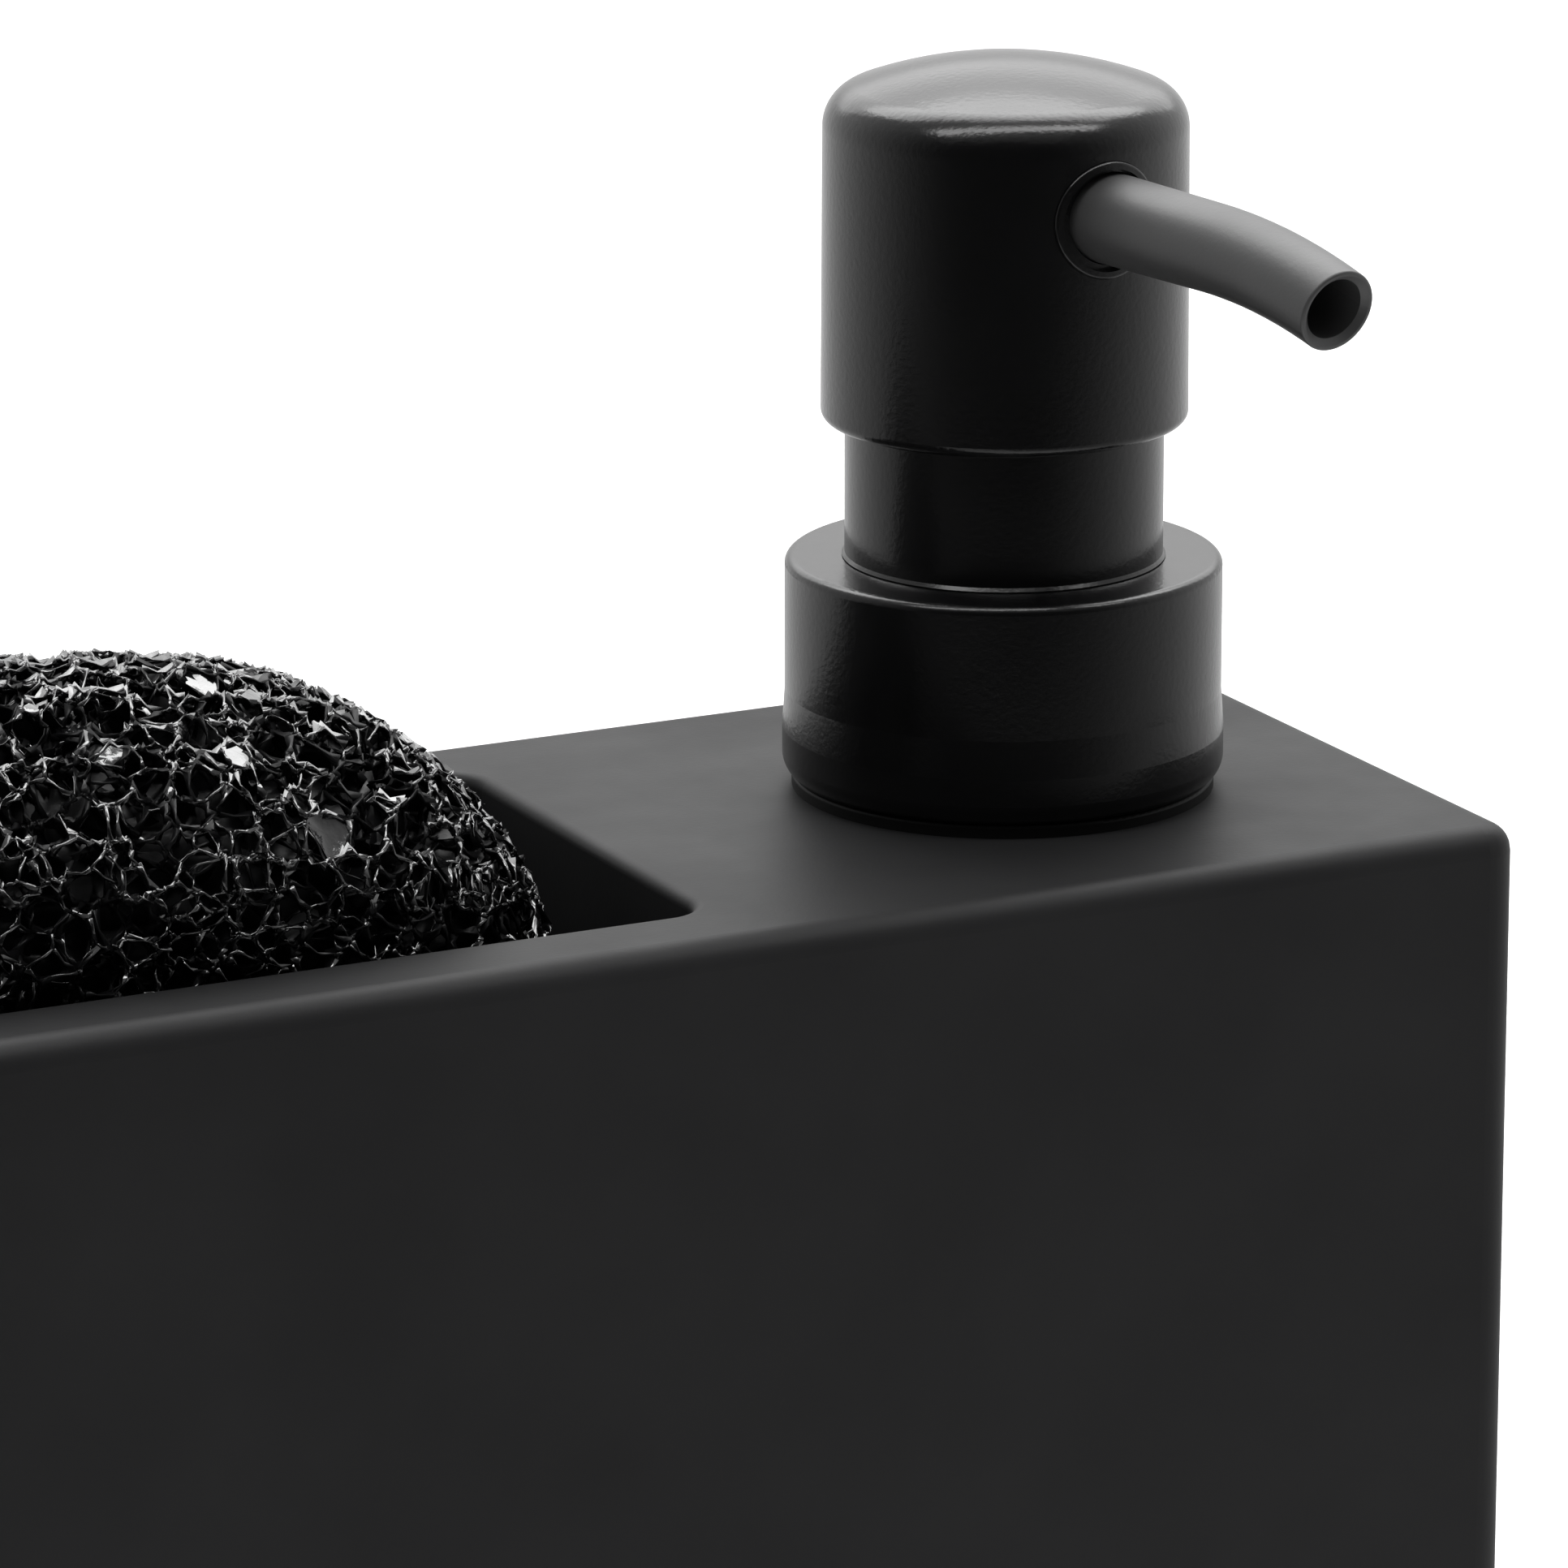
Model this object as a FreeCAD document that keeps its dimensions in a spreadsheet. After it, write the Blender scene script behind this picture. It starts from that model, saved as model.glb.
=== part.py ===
import FreeCAD, Part
import math
import os
import Sketcher

# Soap pump caddy: a block with an open well for a scourer beside a soap tank, and a push
# pump screwed on the tank's neck. Millimetres, +Z up. The origin is the centre of the
# non-slip pad's underside, +X runs towards the pump and -Y is the front.
# Heights of the pump's pieces are counted from the deck, the caddy's top face.

SIZES = {
    # caddy body
    "body_length": 155.0,
    "body_depth": 57.0,
    "deck_height": 90.0,
    "body_corner": 3.0,
    "deck_edge": 2.0,
    "foot_edge": 1.2,
    "rim_width": 7.9,
    "pump_block_length": 63.3,
    "well_depth": 50.0,
    "well_corner": 3.0,
    "well_lip": 0.9,
    "tank_wall": 5.0,
    "deck_wall": 6.0,
    "partition_wall": 5.0,
    "well_floor_wall": 5.0,
    "tank_corner": 3.0,
    # base plate and non-slip pad
    "plate_thickness": 3.0,
    "plate_ledge": 2.0,
    "plate_gap": 0.2,
    "plate_rim_height": 2.5,
    "plate_rim_wall": 1.6,
    "plate_rim_gap": 0.25,
    "pad_thickness": 2.0,
    "pad_recess": 1.0,
    "pad_gap": 0.4,
    # place of the pump
    "pump_inset": 28.5,
    "spout_turn": 8.0,
    # neck insert
    "neck_root_radius": 12.65,
    "neck_wall": 2.15,
    "neck_land": 2.655,
    "neck_flange_inset": 0.7,
    "neck_flange_height": 1.0,
    "neck_flange_edge": 0.3,
    "neck_barrel_step": 0.75,
    "neck_barrel_length": 8.0,
    "neck_glue_gap": 0.1,
    # screw thread of neck and collar
    "thread_pitch": 4.23,
    "thread_depth": 1.0,
    "thread_flat": 0.9,
    "thread_flank": 0.5,
    "thread_turns": 1.5,
    "thread_start": 3.0,
    "thread_clearance": 0.3,
    "thread_embed": 0.3,
    # collar
    "collar_bore_gap": 0.45,
    "collar_wall": 2.2,
    "collar_flare": 0.2,
    "collar_foot_gap": 0.1,
    "collar_foot_inset": 0.67,
    "collar_foot_rise": 1.45,
    "collar_flare_low": 4.6,
    "collar_flare_high": 7.5,
    "collar_top_wall": 1.6,
    "collar_top_edge": 0.65,
    # neck gasket
    "gasket_thickness": 1.0,
    "gasket_inset": 0.3,
    # neck sleeve
    "sleeve_step": 2.25,
    "sleeve_wall": 1.0,
    "sleeve_overlap": 1.8,
    "sleeve_end_gap": 1.0,
    "sleeve_flange_gap": 0.9,
    "sleeve_flange_thickness": 1.42,
    "sleeve_running_gap": 0.08,
    "bead_width": 0.2,
    "bead_height": 0.25,
    # pump housing
    "housing_flange_inset": 0.35,
    "housing_flange_thickness": 1.5,
    "housing_bore_radius": 6.5,
    "housing_wall": 1.1,
    "housing_ledge_depth": 28.0,
    "ball_lip_height": 0.6,
    "ball_lip_hold": 0.3,
    "ball_side_gap": 0.35,
    "ball_headroom": 0.85,
    "seat_hole_radius": 1.5,
    "seat_hole_length": 1.0,
    "spigot_wall": 1.58,
    "spigot_socket_depth": 6.0,
    "vent_radius": 0.5,
    "vent_drop": 2.0,
    # inlet ball
    "ball_radius": 2.4,
    "ball_gap": 0.1,
    # dip tube
    "dip_radius": 2.6,
    "dip_wall": 0.7,
    "dip_floor_gap": 2.0,
    "dip_fit_gap": 0.02,
    # stem guide
    "guide_flange_gap": 0.25,
    "guide_flange_thickness": 1.4,
    "guide_barrel_length": 8.5,
    "guide_barrel_gap": 0.05,
    "guide_boss_radius": 5.5,
    "guide_boss_height": 3.1,
    # stem
    "stem_radius": 3.5,
    "stem_bore_radius": 2.2,
    "stem_running_gap": 0.05,
    "stem_foot_depth": 2.5,
    "stem_top_drop": 3.3,
    "stem_port_radius": 0.9,
    "stem_port_rise": 1.2,
    # piston
    "piston_gap": 0.05,
    "piston_top_gap": 0.3,
    "piston_foot_gap": 0.2,
    "piston_waist_step": 0.9,
    "piston_lip_height": 1.6,
    "piston_lip_slope": 0.8,
    # piston rod
    "rod_head_gap": 0.6,
    "rod_head_thickness": 1.5,
    "rod_pin_length": 5.0,
    "rod_pilot_gap": 0.55,
    "rod_pilot_length": 3.0,
    # return spring
    "spring_wire_radius": 0.45,
    "spring_side_gap": 1.15,
    "spring_turns": 8.0,
    "spring_seat_gap": 0.05,
    # push head
    "head_running_gap": 0.55,
    "head_wall": 1.09,
    "head_taper": 0.14,
    "head_foot_gap": 0.57,
    "head_foot_edge": 0.8,
    "crown_rise": 9.8,
    "crown_radius": 32.65,
    "crown_wall": 1.3,
    "shoulder_edge": 3.28,
    "stroke": 9.5,
    "stroke_end_gap": 0.3,
    # actuator core
    "core_glue_gap": 0.1,
    "core_crown_gap": 1.74,
    "core_boss_wall": 1.7,
    "core_socket_gap": 0.02,
    "core_socket_end_gap": 0.2,
    "core_channel_step": 0.3,
    "core_recess_radius": 2.3,
    "core_recess_wall": 0.8,
    "core_roof": 1.7,
    # spout
    "spout_rise": 5.0,
    "spout_root": 6.2,
    "spout_root_radius": 3.4,
    "spout_tip_radius": 3.1,
    "spout_root_wall": 1.0,
    "spout_tip_wall": 0.8,
    "spout_straight_end": 25.0,
    "spout_bend_radius": 55.0,
    "spout_bend": 15.5,
    "spout_tip_edge": 0.2,
    "spout_tip_bevel": 0.45,
    "spout_fit_gap": 0.03,
    "ring_width": 0.9,
    "ring_shift": 0.5,
    "ring_lip": 0.55,
    "ring_proud": 0.3,
    "ring_edge": 0.22,
    "ring_recess": 0.45,
    # scourer
    "scourer_end_gap": 4.7,
    "scourer_half_width": 25.0,
    "scourer_half_height": 34.5,
    "scourer_rise": 19.1,
    "scourer_gap": 0.3,
    # how far a cutting shape runs past what it cuts
    "overrun": 1.0,
}
# The core's recesses: their count, and as shares of a full turn the first one's direction from
# the spout's and the sweep from the first to the last.
RECESS_COUNT = 5
RECESS_FIRST_SHARE = 1 / 6
RECESS_SWEEP_SHARE = 4 / 6

ORIGIN = -1
START = 1
END = 2
CENTRE = 3
NEAR_SHARE = 1e-6

Vector = FreeCAD.Vector
doc = FreeCAD.newDocument("soap_pump_caddy")
sheet = doc.addObject("Spreadsheet::Sheet", "sizes")
for row, (alias, number) in enumerate(SIZES.items(), start=1):
    sheet.set(f"A{row}", alias)
    sheet.set(f"B{row}", str(number))
    sheet.setAlias(f"B{row}", alias)
doc.recompute()


class Size:
    """A number of the spreadsheet, or a sum of them: the formula that binds it and its value."""

    def __init__(self, formula, value):
        self.formula = formula
        self.value = value

    def __add__(self, other):
        other = as_size(other)
        return Size(f"({self.formula} + {other.formula})", self.value + other.value)

    def __sub__(self, other):
        other = as_size(other)
        return Size(f"({self.formula} - {other.formula})", self.value - other.value)

    def __mul__(self, other):
        other = as_size(other)
        return Size(f"({self.formula} * {other.formula})", self.value * other.value)

    def __truediv__(self, other):
        other = as_size(other)
        return Size(f"({self.formula} / {other.formula})", self.value / other.value)

    def __neg__(self):
        return Size(f"(0 - {self.formula})", -self.value)


def as_size(thing):
    return thing if isinstance(thing, Size) else Size(str(thing), float(thing))


def square_root(thing):
    return Size(f"sqrt({thing.formula})", math.sqrt(thing.value))


def sine(angle):
    return Size(f"sin({angle.formula})", math.sin(math.radians(angle.value)))


def cosine(angle):
    return Size(f"cos({angle.formula})", math.cos(math.radians(angle.value)))


class Sheet:
    """Gives each cell of the spreadsheet as a Size, by its alias."""

    def __getattr__(self, alias):
        return Size(f"sizes.{alias}", float(sheet.get(alias)))


s = Sheet()


def bind(thing, name, size):
    thing.setExpression(name, as_size(size).formula)


def near(number, target):
    return abs(number - target) < NEAR_SHARE * s.body_length.value


def new_body(label, x=0, y=0, z=0, turn=None):
    body = doc.addObject("PartDesign::Body", label)
    body.Label = label
    place(body, x, y, z, turn)
    return body


def place(thing, x=0, y=0, z=0, turn=None, axis=Vector(0, 0, 1)):
    """Binds a placement: a shift, and a turn about an axis through the thing's own origin."""
    shift = Vector(as_size(x).value, as_size(y).value, as_size(z).value)
    angle = as_size(turn or 0)
    thing.Placement = FreeCAD.Placement(shift, FreeCAD.Rotation(axis, angle.value))
    for name, size in (("x", x), ("y", y), ("z", z)):
        bind(thing, f"Placement.Base.{name}", size)
    if turn:
        bind(thing, "Placement.Rotation.Angle", angle)


def origin_of(body, role):
    return [feature for feature in body.Origin.OriginFeatures if feature.Role == role][0]


def new_sketch(body, name, plane, height=0):
    """A sketch on one of the body's own planes, raised along the plane's normal."""
    sketch = body.newObject("Sketcher::SketchObject", name)
    sketch.AttachmentSupport = [(origin_of(body, plane), "")]
    sketch.MapMode = "FlatFace"
    bind(sketch, "AttachmentOffset.Base.z", height)
    return sketch


def bound_constraint(sketch, name, kind, *where, size):
    number = sketch.addConstraint(Sketcher.Constraint(kind, *where, size.value))
    sketch.renameConstraint(number, name)
    bind(sketch, f"Constraints.{name}", size)


def arc_between(start, end, radius, turn):
    """The arc of under a half circle from start to end; turn is 1 counterclockwise, else -1."""
    middle = (start + end) * 0.5
    chord = end - start
    reach = math.sqrt(radius ** 2 - (chord.Length / 2) ** 2) / chord.Length
    centre = middle + Vector(-chord.y, chord.x, 0) * (reach * turn)
    first, last = (start, end) if turn > 0 else (end, start)
    angles = [math.atan2(point.y - centre.y, point.x - centre.x) for point in (first, last)]
    if angles[1] < angles[0]:
        angles[1] += 2 * math.pi
    return Part.ArcOfCircle(Part.Circle(centre, Vector(0, 0, 1), radius), angles[0], angles[1])


def add_outline(sketch, points, arcs=None):
    """Closes bound corner points by lines, or by arcs: {index of first corner: (radius, turn)}."""
    arcs = arcs or {}
    first = sketch.GeometryCount
    corners = [(as_size(x), as_size(y)) for x, y in points]
    spots = [Vector(x.value, y.value, 0) for x, y in corners]
    ends = []
    for index, spot in enumerate(spots):
        following = spots[(index + 1) % len(spots)]
        radius, turn = arcs.get(index, (None, 1))
        if radius:
            edge = arc_between(spot, following, radius.value, turn)
        else:
            edge = Part.LineSegment(spot, following)
        sketch.addGeometry(edge, False)
        ends.append((START, END) if turn > 0 else (END, START))
    for index in range(len(spots)):
        after = (index + 1) % len(spots)
        joint = (first + index, ends[index][1], first + after, ends[after][0])
        sketch.addConstraint(Sketcher.Constraint("Coincident", *joint))
    for index, (x, y) in enumerate(corners):
        where = (ORIGIN, START, first + index, ends[index][0])
        bound_constraint(sketch, f"across_{first + index}", "DistanceX", *where, size=x)
        bound_constraint(sketch, f"up_{first + index}", "DistanceY", *where, size=y)
    for index, (radius, _) in arcs.items():
        bound_constraint(sketch, f"radius_{first + index}", "Radius", first + index, size=radius)


def add_circle(sketch, radius, x=0, y=0):
    x, y = as_size(x), as_size(y)
    circle = Part.Circle(Vector(x.value, y.value, 0), Vector(0, 0, 1), radius.value)
    number = sketch.addGeometry(circle, False)
    bound_constraint(sketch, f"radius_{number}", "Radius", number, size=radius)
    where = (ORIGIN, START, number, CENTRE)
    bound_constraint(sketch, f"across_{number}", "DistanceX", *where, size=x)
    bound_constraint(sketch, f"up_{number}", "DistanceY", *where, size=y)


def add_rounded_rectangle(sketch, left, right, low, high, radius):
    """A rectangle between four bound sides, its corners arcs of one bound radius."""
    points = [
        (left + radius, low), (right - radius, low),
        (right, low + radius), (right, high - radius),
        (right - radius, high), (left + radius, high),
        (left, high - radius), (left, low + radius),
    ]
    add_outline(sketch, points, {index: (radius, 1) for index in (1, 3, 5, 7)})


def revolve(body, name, points, arcs=None):
    """Turns an outline of (radius, height) points about the body's Z axis."""
    sketch = new_sketch(body, f"{name}_profile", "XZ_Plane")
    add_outline(sketch, points, arcs)
    feature = body.newObject("PartDesign::Revolution", name)
    feature.Profile = sketch
    feature.ReferenceAxis = (origin_of(body, "Z_Axis"), [""])
    feature.Angle = 360
    doc.recompute()
    return feature


def pad(body, name, sketch, length):
    feature = body.newObject("PartDesign::Pad", name)
    feature.Profile = sketch
    bind(feature, "Length", length)
    doc.recompute()
    return feature


def pocket(body, name, sketch, length, upwards=False, both_ways=False):
    """Cuts a sketch into the body and makes sure that it removes material."""
    before = body.Shape.Volume
    feature = body.newObject("PartDesign::Pocket", name)
    feature.Profile = sketch
    feature.Reversed = upwards
    feature.Midplane = both_ways
    bind(feature, "Length", length)
    doc.recompute()
    if not body.Shape.Volume < before:
        raise RuntimeError(f"{name} removes nothing")
    return feature


def round_edges(body, base, name, radius, test):
    """Rounds the edges of the base feature that pass the test."""
    names = [f"Edge{number}" for number, edge in enumerate(base.Shape.Edges, start=1) if test(edge)]
    if not names:
        raise RuntimeError(f"{name} finds no edge")
    feature = body.newObject("PartDesign::Fillet", name)
    feature.Base = (base, names)
    bind(feature, "Radius", radius)
    doc.recompute()
    return feature


def at_height(height):
    """Tests for edges that lie level at a height."""
    level = as_size(height).value

    def test(edge):
        box = edge.BoundBox
        return near(box.ZMin, level) and near(box.ZMax, level)
    return test


def at_circle(radius, height):
    """Tests for a level circle of a radius about the body's Z axis."""
    level = at_height(height)
    reach = as_size(radius).value

    def test(edge):
        return level(edge) and isinstance(edge.Curve, Part.Circle) and near(edge.Curve.Radius, reach)
    return test


def inside_rectangle(left, right, low, high):
    """Tests for edges whose whole box lies within four sides."""
    sides = [as_size(side).value for side in (left, right, low, high)]

    def test(edge):
        box = edge.BoundBox
        slack = NEAR_SHARE * s.body_length.value
        across = sides[0] - slack < box.XMin and box.XMax < sides[1] + slack
        return across and sides[2] - slack < box.YMin and box.YMax < sides[3] + slack
    return test


def both(first, second):
    return lambda edge: first(edge) and second(edge)


def thread(body, name, root, crest, height, turns):
    """A helical ridge from the root radius to the crest radius, centred on a height at its start."""
    sketch = new_sketch(body, f"{name}_profile", "XZ_Plane")
    crest_half = s.thread_flat / 2
    root_half = crest_half + s.thread_flank
    points = [
        (root, height - root_half), (root, height + root_half),
        (crest, height + crest_half), (crest, height - crest_half),
    ]
    add_outline(sketch, points)
    feature = body.newObject("PartDesign::AdditiveHelix", name)
    feature.Profile = sketch
    feature.ReferenceAxis = (origin_of(body, "Z_Axis"), [""])
    feature.Mode = 1
    bind(feature, "Pitch", s.thread_pitch)
    bind(feature, "Turns", turns)
    doc.recompute()
    return feature


def cylinder(name, radius, height, **where):
    shape = doc.addObject("Part::Cylinder", name)
    bind(shape, "Radius", radius)
    bind(shape, "Height", height)
    place(shape, **where)
    return shape


def boolean(kind, name, base, tool):
    shape = doc.addObject(f"Part::{kind}", name)
    shape.Base = base
    shape.Tool = tool
    return shape


# Places that several pieces share.
half_length = s.body_length / 2
half_depth = s.body_depth / 2
underside = s.pad_thickness - s.pad_recess
plate_top = s.pad_thickness + s.plate_thickness
well_left = s.rim_width - half_length
well_right = half_length - s.pump_block_length
well_side = half_depth - s.rim_width
well_floor = s.deck_height - s.well_depth
tank_end = half_length - s.tank_wall
tank_side = half_depth - s.tank_wall
rebate_end = tank_end + s.plate_ledge
rebate_side = tank_side + s.plate_ledge
pump_x = half_length - s.pump_inset
# Radii from the neck outwards.
neck_bore_radius = s.neck_root_radius - s.neck_wall
neck_barrel_radius = s.neck_root_radius + s.neck_barrel_step
neck_hole_radius = neck_barrel_radius + s.neck_glue_gap
housing_flange_radius = s.neck_root_radius - s.housing_flange_inset
collar_bore_radius = s.neck_root_radius + s.thread_depth + s.collar_bore_gap
collar_top_radius = collar_bore_radius + s.collar_wall
collar_foot_radius = collar_top_radius + s.collar_flare
neck_flange_radius = collar_foot_radius - s.neck_flange_inset
sleeve_radius = collar_bore_radius - s.sleeve_step
sleeve_bore_radius = sleeve_radius - s.sleeve_wall
head_bore_radius = sleeve_radius + s.head_running_gap
head_shoulder_radius = head_bore_radius + s.head_wall
head_foot_radius = head_shoulder_radius + s.head_taper
core_radius = head_bore_radius - s.core_glue_gap
# Radii from the pump's bore inwards.
spring_radius = s.housing_bore_radius - s.spring_side_gap - s.spring_wire_radius
ball_chamber_radius = s.ball_radius + s.ball_side_gap
# Heights above the deck, from the neck up.
neck_height = s.thread_start + s.thread_pitch * s.thread_turns + s.neck_land
housing_flange_foot = neck_height + s.gasket_thickness
housing_top = housing_flange_foot + s.housing_flange_thickness
collar_ceiling = housing_top + s.sleeve_flange_thickness + s.sleeve_running_gap
collar_height = collar_ceiling + s.collar_top_wall
bead_foot = collar_height + s.sleeve_running_gap
bead_top = bead_foot + s.bead_height
head_foot = bead_top + s.stroke + s.head_foot_gap
guide_foot = housing_top - s.guide_barrel_length
guide_top = housing_top + s.guide_flange_thickness + s.guide_boss_height
core_boss_foot = guide_top + s.stroke + s.stroke_end_gap
# Heights above the deck, from the sleeve up.
sleeve_top = head_foot + s.sleeve_overlap
core_foot = sleeve_top + s.stroke + s.sleeve_end_gap
spout_height = core_foot + s.spout_rise
ring_radius = s.spout_root_radius + s.spout_fit_gap + s.ring_width
stem_top = spout_height - s.stem_top_drop
socket_top = stem_top + s.core_socket_end_gap
head_apex = spout_height + s.crown_rise
crown_centre = head_apex - s.crown_radius
inner_crown_radius = s.crown_radius - s.crown_wall
inner_shoulder_level = crown_centre + square_root(
    inner_crown_radius * inner_crown_radius - head_bore_radius * head_bore_radius
)
core_top = inner_shoulder_level - s.core_crown_gap
# Heights below the deck.
stem_foot = -s.stem_foot_depth
ledge = -s.housing_ledge_depth
ball_lip_foot = ledge - s.ball_lip_height
ball_cone_top = ball_lip_foot - s.ball_radius - s.ball_headroom
seat_level = ball_cone_top - (ball_chamber_radius - s.seat_hole_radius)
spring_height = stem_foot - s.rod_head_thickness - ledge


def on_pump(label, turned=False):
    """A body whose origin is the pump's axis at the deck."""
    turn = s.spout_turn if turned else None
    return new_body(label, x=pump_x, z=s.deck_height, turn=turn)


def make_caddy_body():
    body = new_body("caddy_body")
    block = new_sketch(body, "block_outline", "XY_Plane", underside)
    sides = (-half_length, half_length, -half_depth, half_depth)
    add_rounded_rectangle(block, *sides, s.body_corner)
    base = pad(body, "block", block, s.deck_height - underside)
    base = round_edges(body, base, "deck_edges", s.deck_edge, at_height(s.deck_height))
    base = round_edges(body, base, "foot_edges", s.foot_edge, at_height(underside))

    well = new_sketch(body, "well_outline", "XY_Plane", s.deck_height)
    well_sides = (well_left, well_right, -well_side, well_side)
    add_rounded_rectangle(well, *well_sides, s.well_corner)
    base = pocket(body, "well", well, s.well_depth)
    floor_edges = both(at_height(well_floor), inside_rectangle(*well_sides))
    base = round_edges(body, base, "well_floor_edges", s.well_corner, floor_edges)
    lip_edges = both(at_height(s.deck_height), inside_rectangle(*well_sides))
    round_edges(body, base, "well_lip", s.well_lip, lip_edges)

    low_tank = new_sketch(body, "low_tank_outline", "XY_Plane", underside)
    add_rounded_rectangle(low_tank, -tank_end, tank_end, -tank_side, tank_side, s.tank_corner)
    pocket(body, "low_tank", low_tank, well_floor - s.well_floor_wall - underside, upwards=True)
    high_tank = new_sketch(body, "high_tank_outline", "XY_Plane", underside)
    tank_start = well_right + s.partition_wall
    add_rounded_rectangle(high_tank, tank_start, tank_end, -tank_side, tank_side, s.tank_corner)
    pocket(body, "high_tank", high_tank, s.deck_height - s.deck_wall - underside, upwards=True)
    rebate = new_sketch(body, "rebate_outline", "XY_Plane", underside)
    rebate_corner = s.tank_corner + s.plate_ledge
    add_rounded_rectangle(rebate, -rebate_end, rebate_end, -rebate_side, rebate_side, rebate_corner)
    pocket(body, "rebate", rebate, s.pad_recess + s.plate_thickness, upwards=True)

    neck_hole = new_sketch(body, "neck_hole_outline", "XY_Plane", s.deck_height)
    add_circle(neck_hole, neck_hole_radius, x=pump_x)
    pocket(body, "neck_hole", neck_hole, s.deck_wall + s.overrun)
    return body


def make_base_plate():
    """The plate that closes the tank, with a locating rim that stands inside the tank's wall."""
    body = new_body("base_plate")
    plate = new_sketch(body, "plate_outline", "XY_Plane", s.pad_thickness)
    end = rebate_end - s.plate_gap
    side = rebate_side - s.plate_gap
    corner = s.tank_corner + s.plate_ledge - s.plate_gap
    add_rounded_rectangle(plate, -end, end, -side, side, corner)
    pad(body, "plate", plate, s.plate_thickness)
    rim = new_sketch(body, "rim_outline", "XY_Plane", plate_top)
    for inset in (s.plate_rim_gap, s.plate_rim_gap + s.plate_rim_wall):
        end = tank_end - inset
        side = tank_side - inset
        add_rounded_rectangle(rim, -end, end, -side, side, s.tank_corner - inset)
    pad(body, "rim", rim, s.plate_rim_height)
    return body


def make_base_pad():
    body = new_body("base_pad")
    outline = new_sketch(body, "pad_outline", "XY_Plane")
    end = rebate_end - s.pad_gap
    side = rebate_side - s.pad_gap
    corner = s.tank_corner + s.plate_ledge - s.pad_gap
    add_rounded_rectangle(outline, -end, end, -side, side, corner)
    pad(body, "pad", outline, s.pad_thickness)
    return body


def make_neck_insert():
    """The threaded neck: a barrel in the deck's hole, a flange on the deck and the screw above."""
    body = on_pump("neck_insert")
    points = [
        (neck_bore_radius, -s.neck_barrel_length),
        (neck_barrel_radius, -s.neck_barrel_length),
        (neck_barrel_radius, 0),
        (neck_flange_radius, 0),
        (neck_flange_radius, s.neck_flange_height),
        (s.neck_root_radius, s.neck_flange_height),
        (s.neck_root_radius, neck_height),
        (neck_bore_radius, neck_height),
    ]
    base = revolve(body, "neck", points)
    flange_edge = at_circle(neck_flange_radius, s.neck_flange_height)
    round_edges(body, base, "neck_flange_edge", s.neck_flange_edge, flange_edge)
    root = s.neck_root_radius - s.thread_embed
    crest = s.neck_root_radius + s.thread_depth
    thread(body, "neck_thread", root, crest, s.thread_start, s.thread_turns)
    return body


def make_neck_gasket():
    outside = cylinder("gasket_outside", housing_flange_radius - s.gasket_inset, s.gasket_thickness)
    inside = cylinder("gasket_inside", neck_bore_radius, s.gasket_thickness)
    ring = boolean("Cut", "neck_gasket", outside, inside)
    ring.Label = "neck_gasket"
    place(ring, x=pump_x, z=s.deck_height + neck_height)
    return ring


def make_collar():
    """The closure: it turns on the neck's thread and holds the sleeve's flange under its top wall."""
    body = on_pump("collar")
    foot = s.neck_flange_height + s.collar_foot_gap
    hole_radius = sleeve_radius + s.sleeve_running_gap
    inset = s.collar_foot_inset
    rise = s.collar_foot_rise
    points = [
        (collar_bore_radius, foot),
        (collar_foot_radius - inset, foot),
        (collar_foot_radius, foot + rise),
        (collar_foot_radius, s.collar_flare_low),
        (collar_top_radius, s.collar_flare_high),
        (collar_top_radius, collar_height),
        (hole_radius, collar_height),
        (hole_radius, collar_ceiling),
        (collar_bore_radius, collar_ceiling),
    ]
    tuck_radius = (inset * inset + rise * rise) / (inset * 2)
    base = revolve(body, "closure", points, {1: (tuck_radius, 1)})
    top_edge = at_circle(collar_top_radius, collar_height)
    round_edges(body, base, "collar_top_edge", s.collar_top_edge, top_edge)
    root = collar_bore_radius + s.thread_embed
    crest = s.neck_root_radius + s.thread_clearance
    start = s.thread_start + s.thread_pitch / 2
    thread(body, "collar_thread", root, crest, start, s.thread_turns)
    return body


def make_neck_sleeve():
    """The fixed sleeve that the push head slides over, with the bead line at its foot."""
    body = on_pump("neck_sleeve")
    flange_radius = collar_bore_radius - s.sleeve_flange_gap
    flange_top = housing_top + s.sleeve_flange_thickness
    points = [
        (sleeve_bore_radius, housing_top),
        (flange_radius, housing_top),
        (flange_radius, flange_top),
        (sleeve_radius, flange_top),
        (sleeve_radius, bead_foot),
        (sleeve_radius + s.bead_width, bead_foot),
        (sleeve_radius, bead_top),
        (sleeve_radius, sleeve_top),
        (sleeve_bore_radius, sleeve_top),
    ]
    revolve(body, "sleeve", points)
    return body


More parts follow.
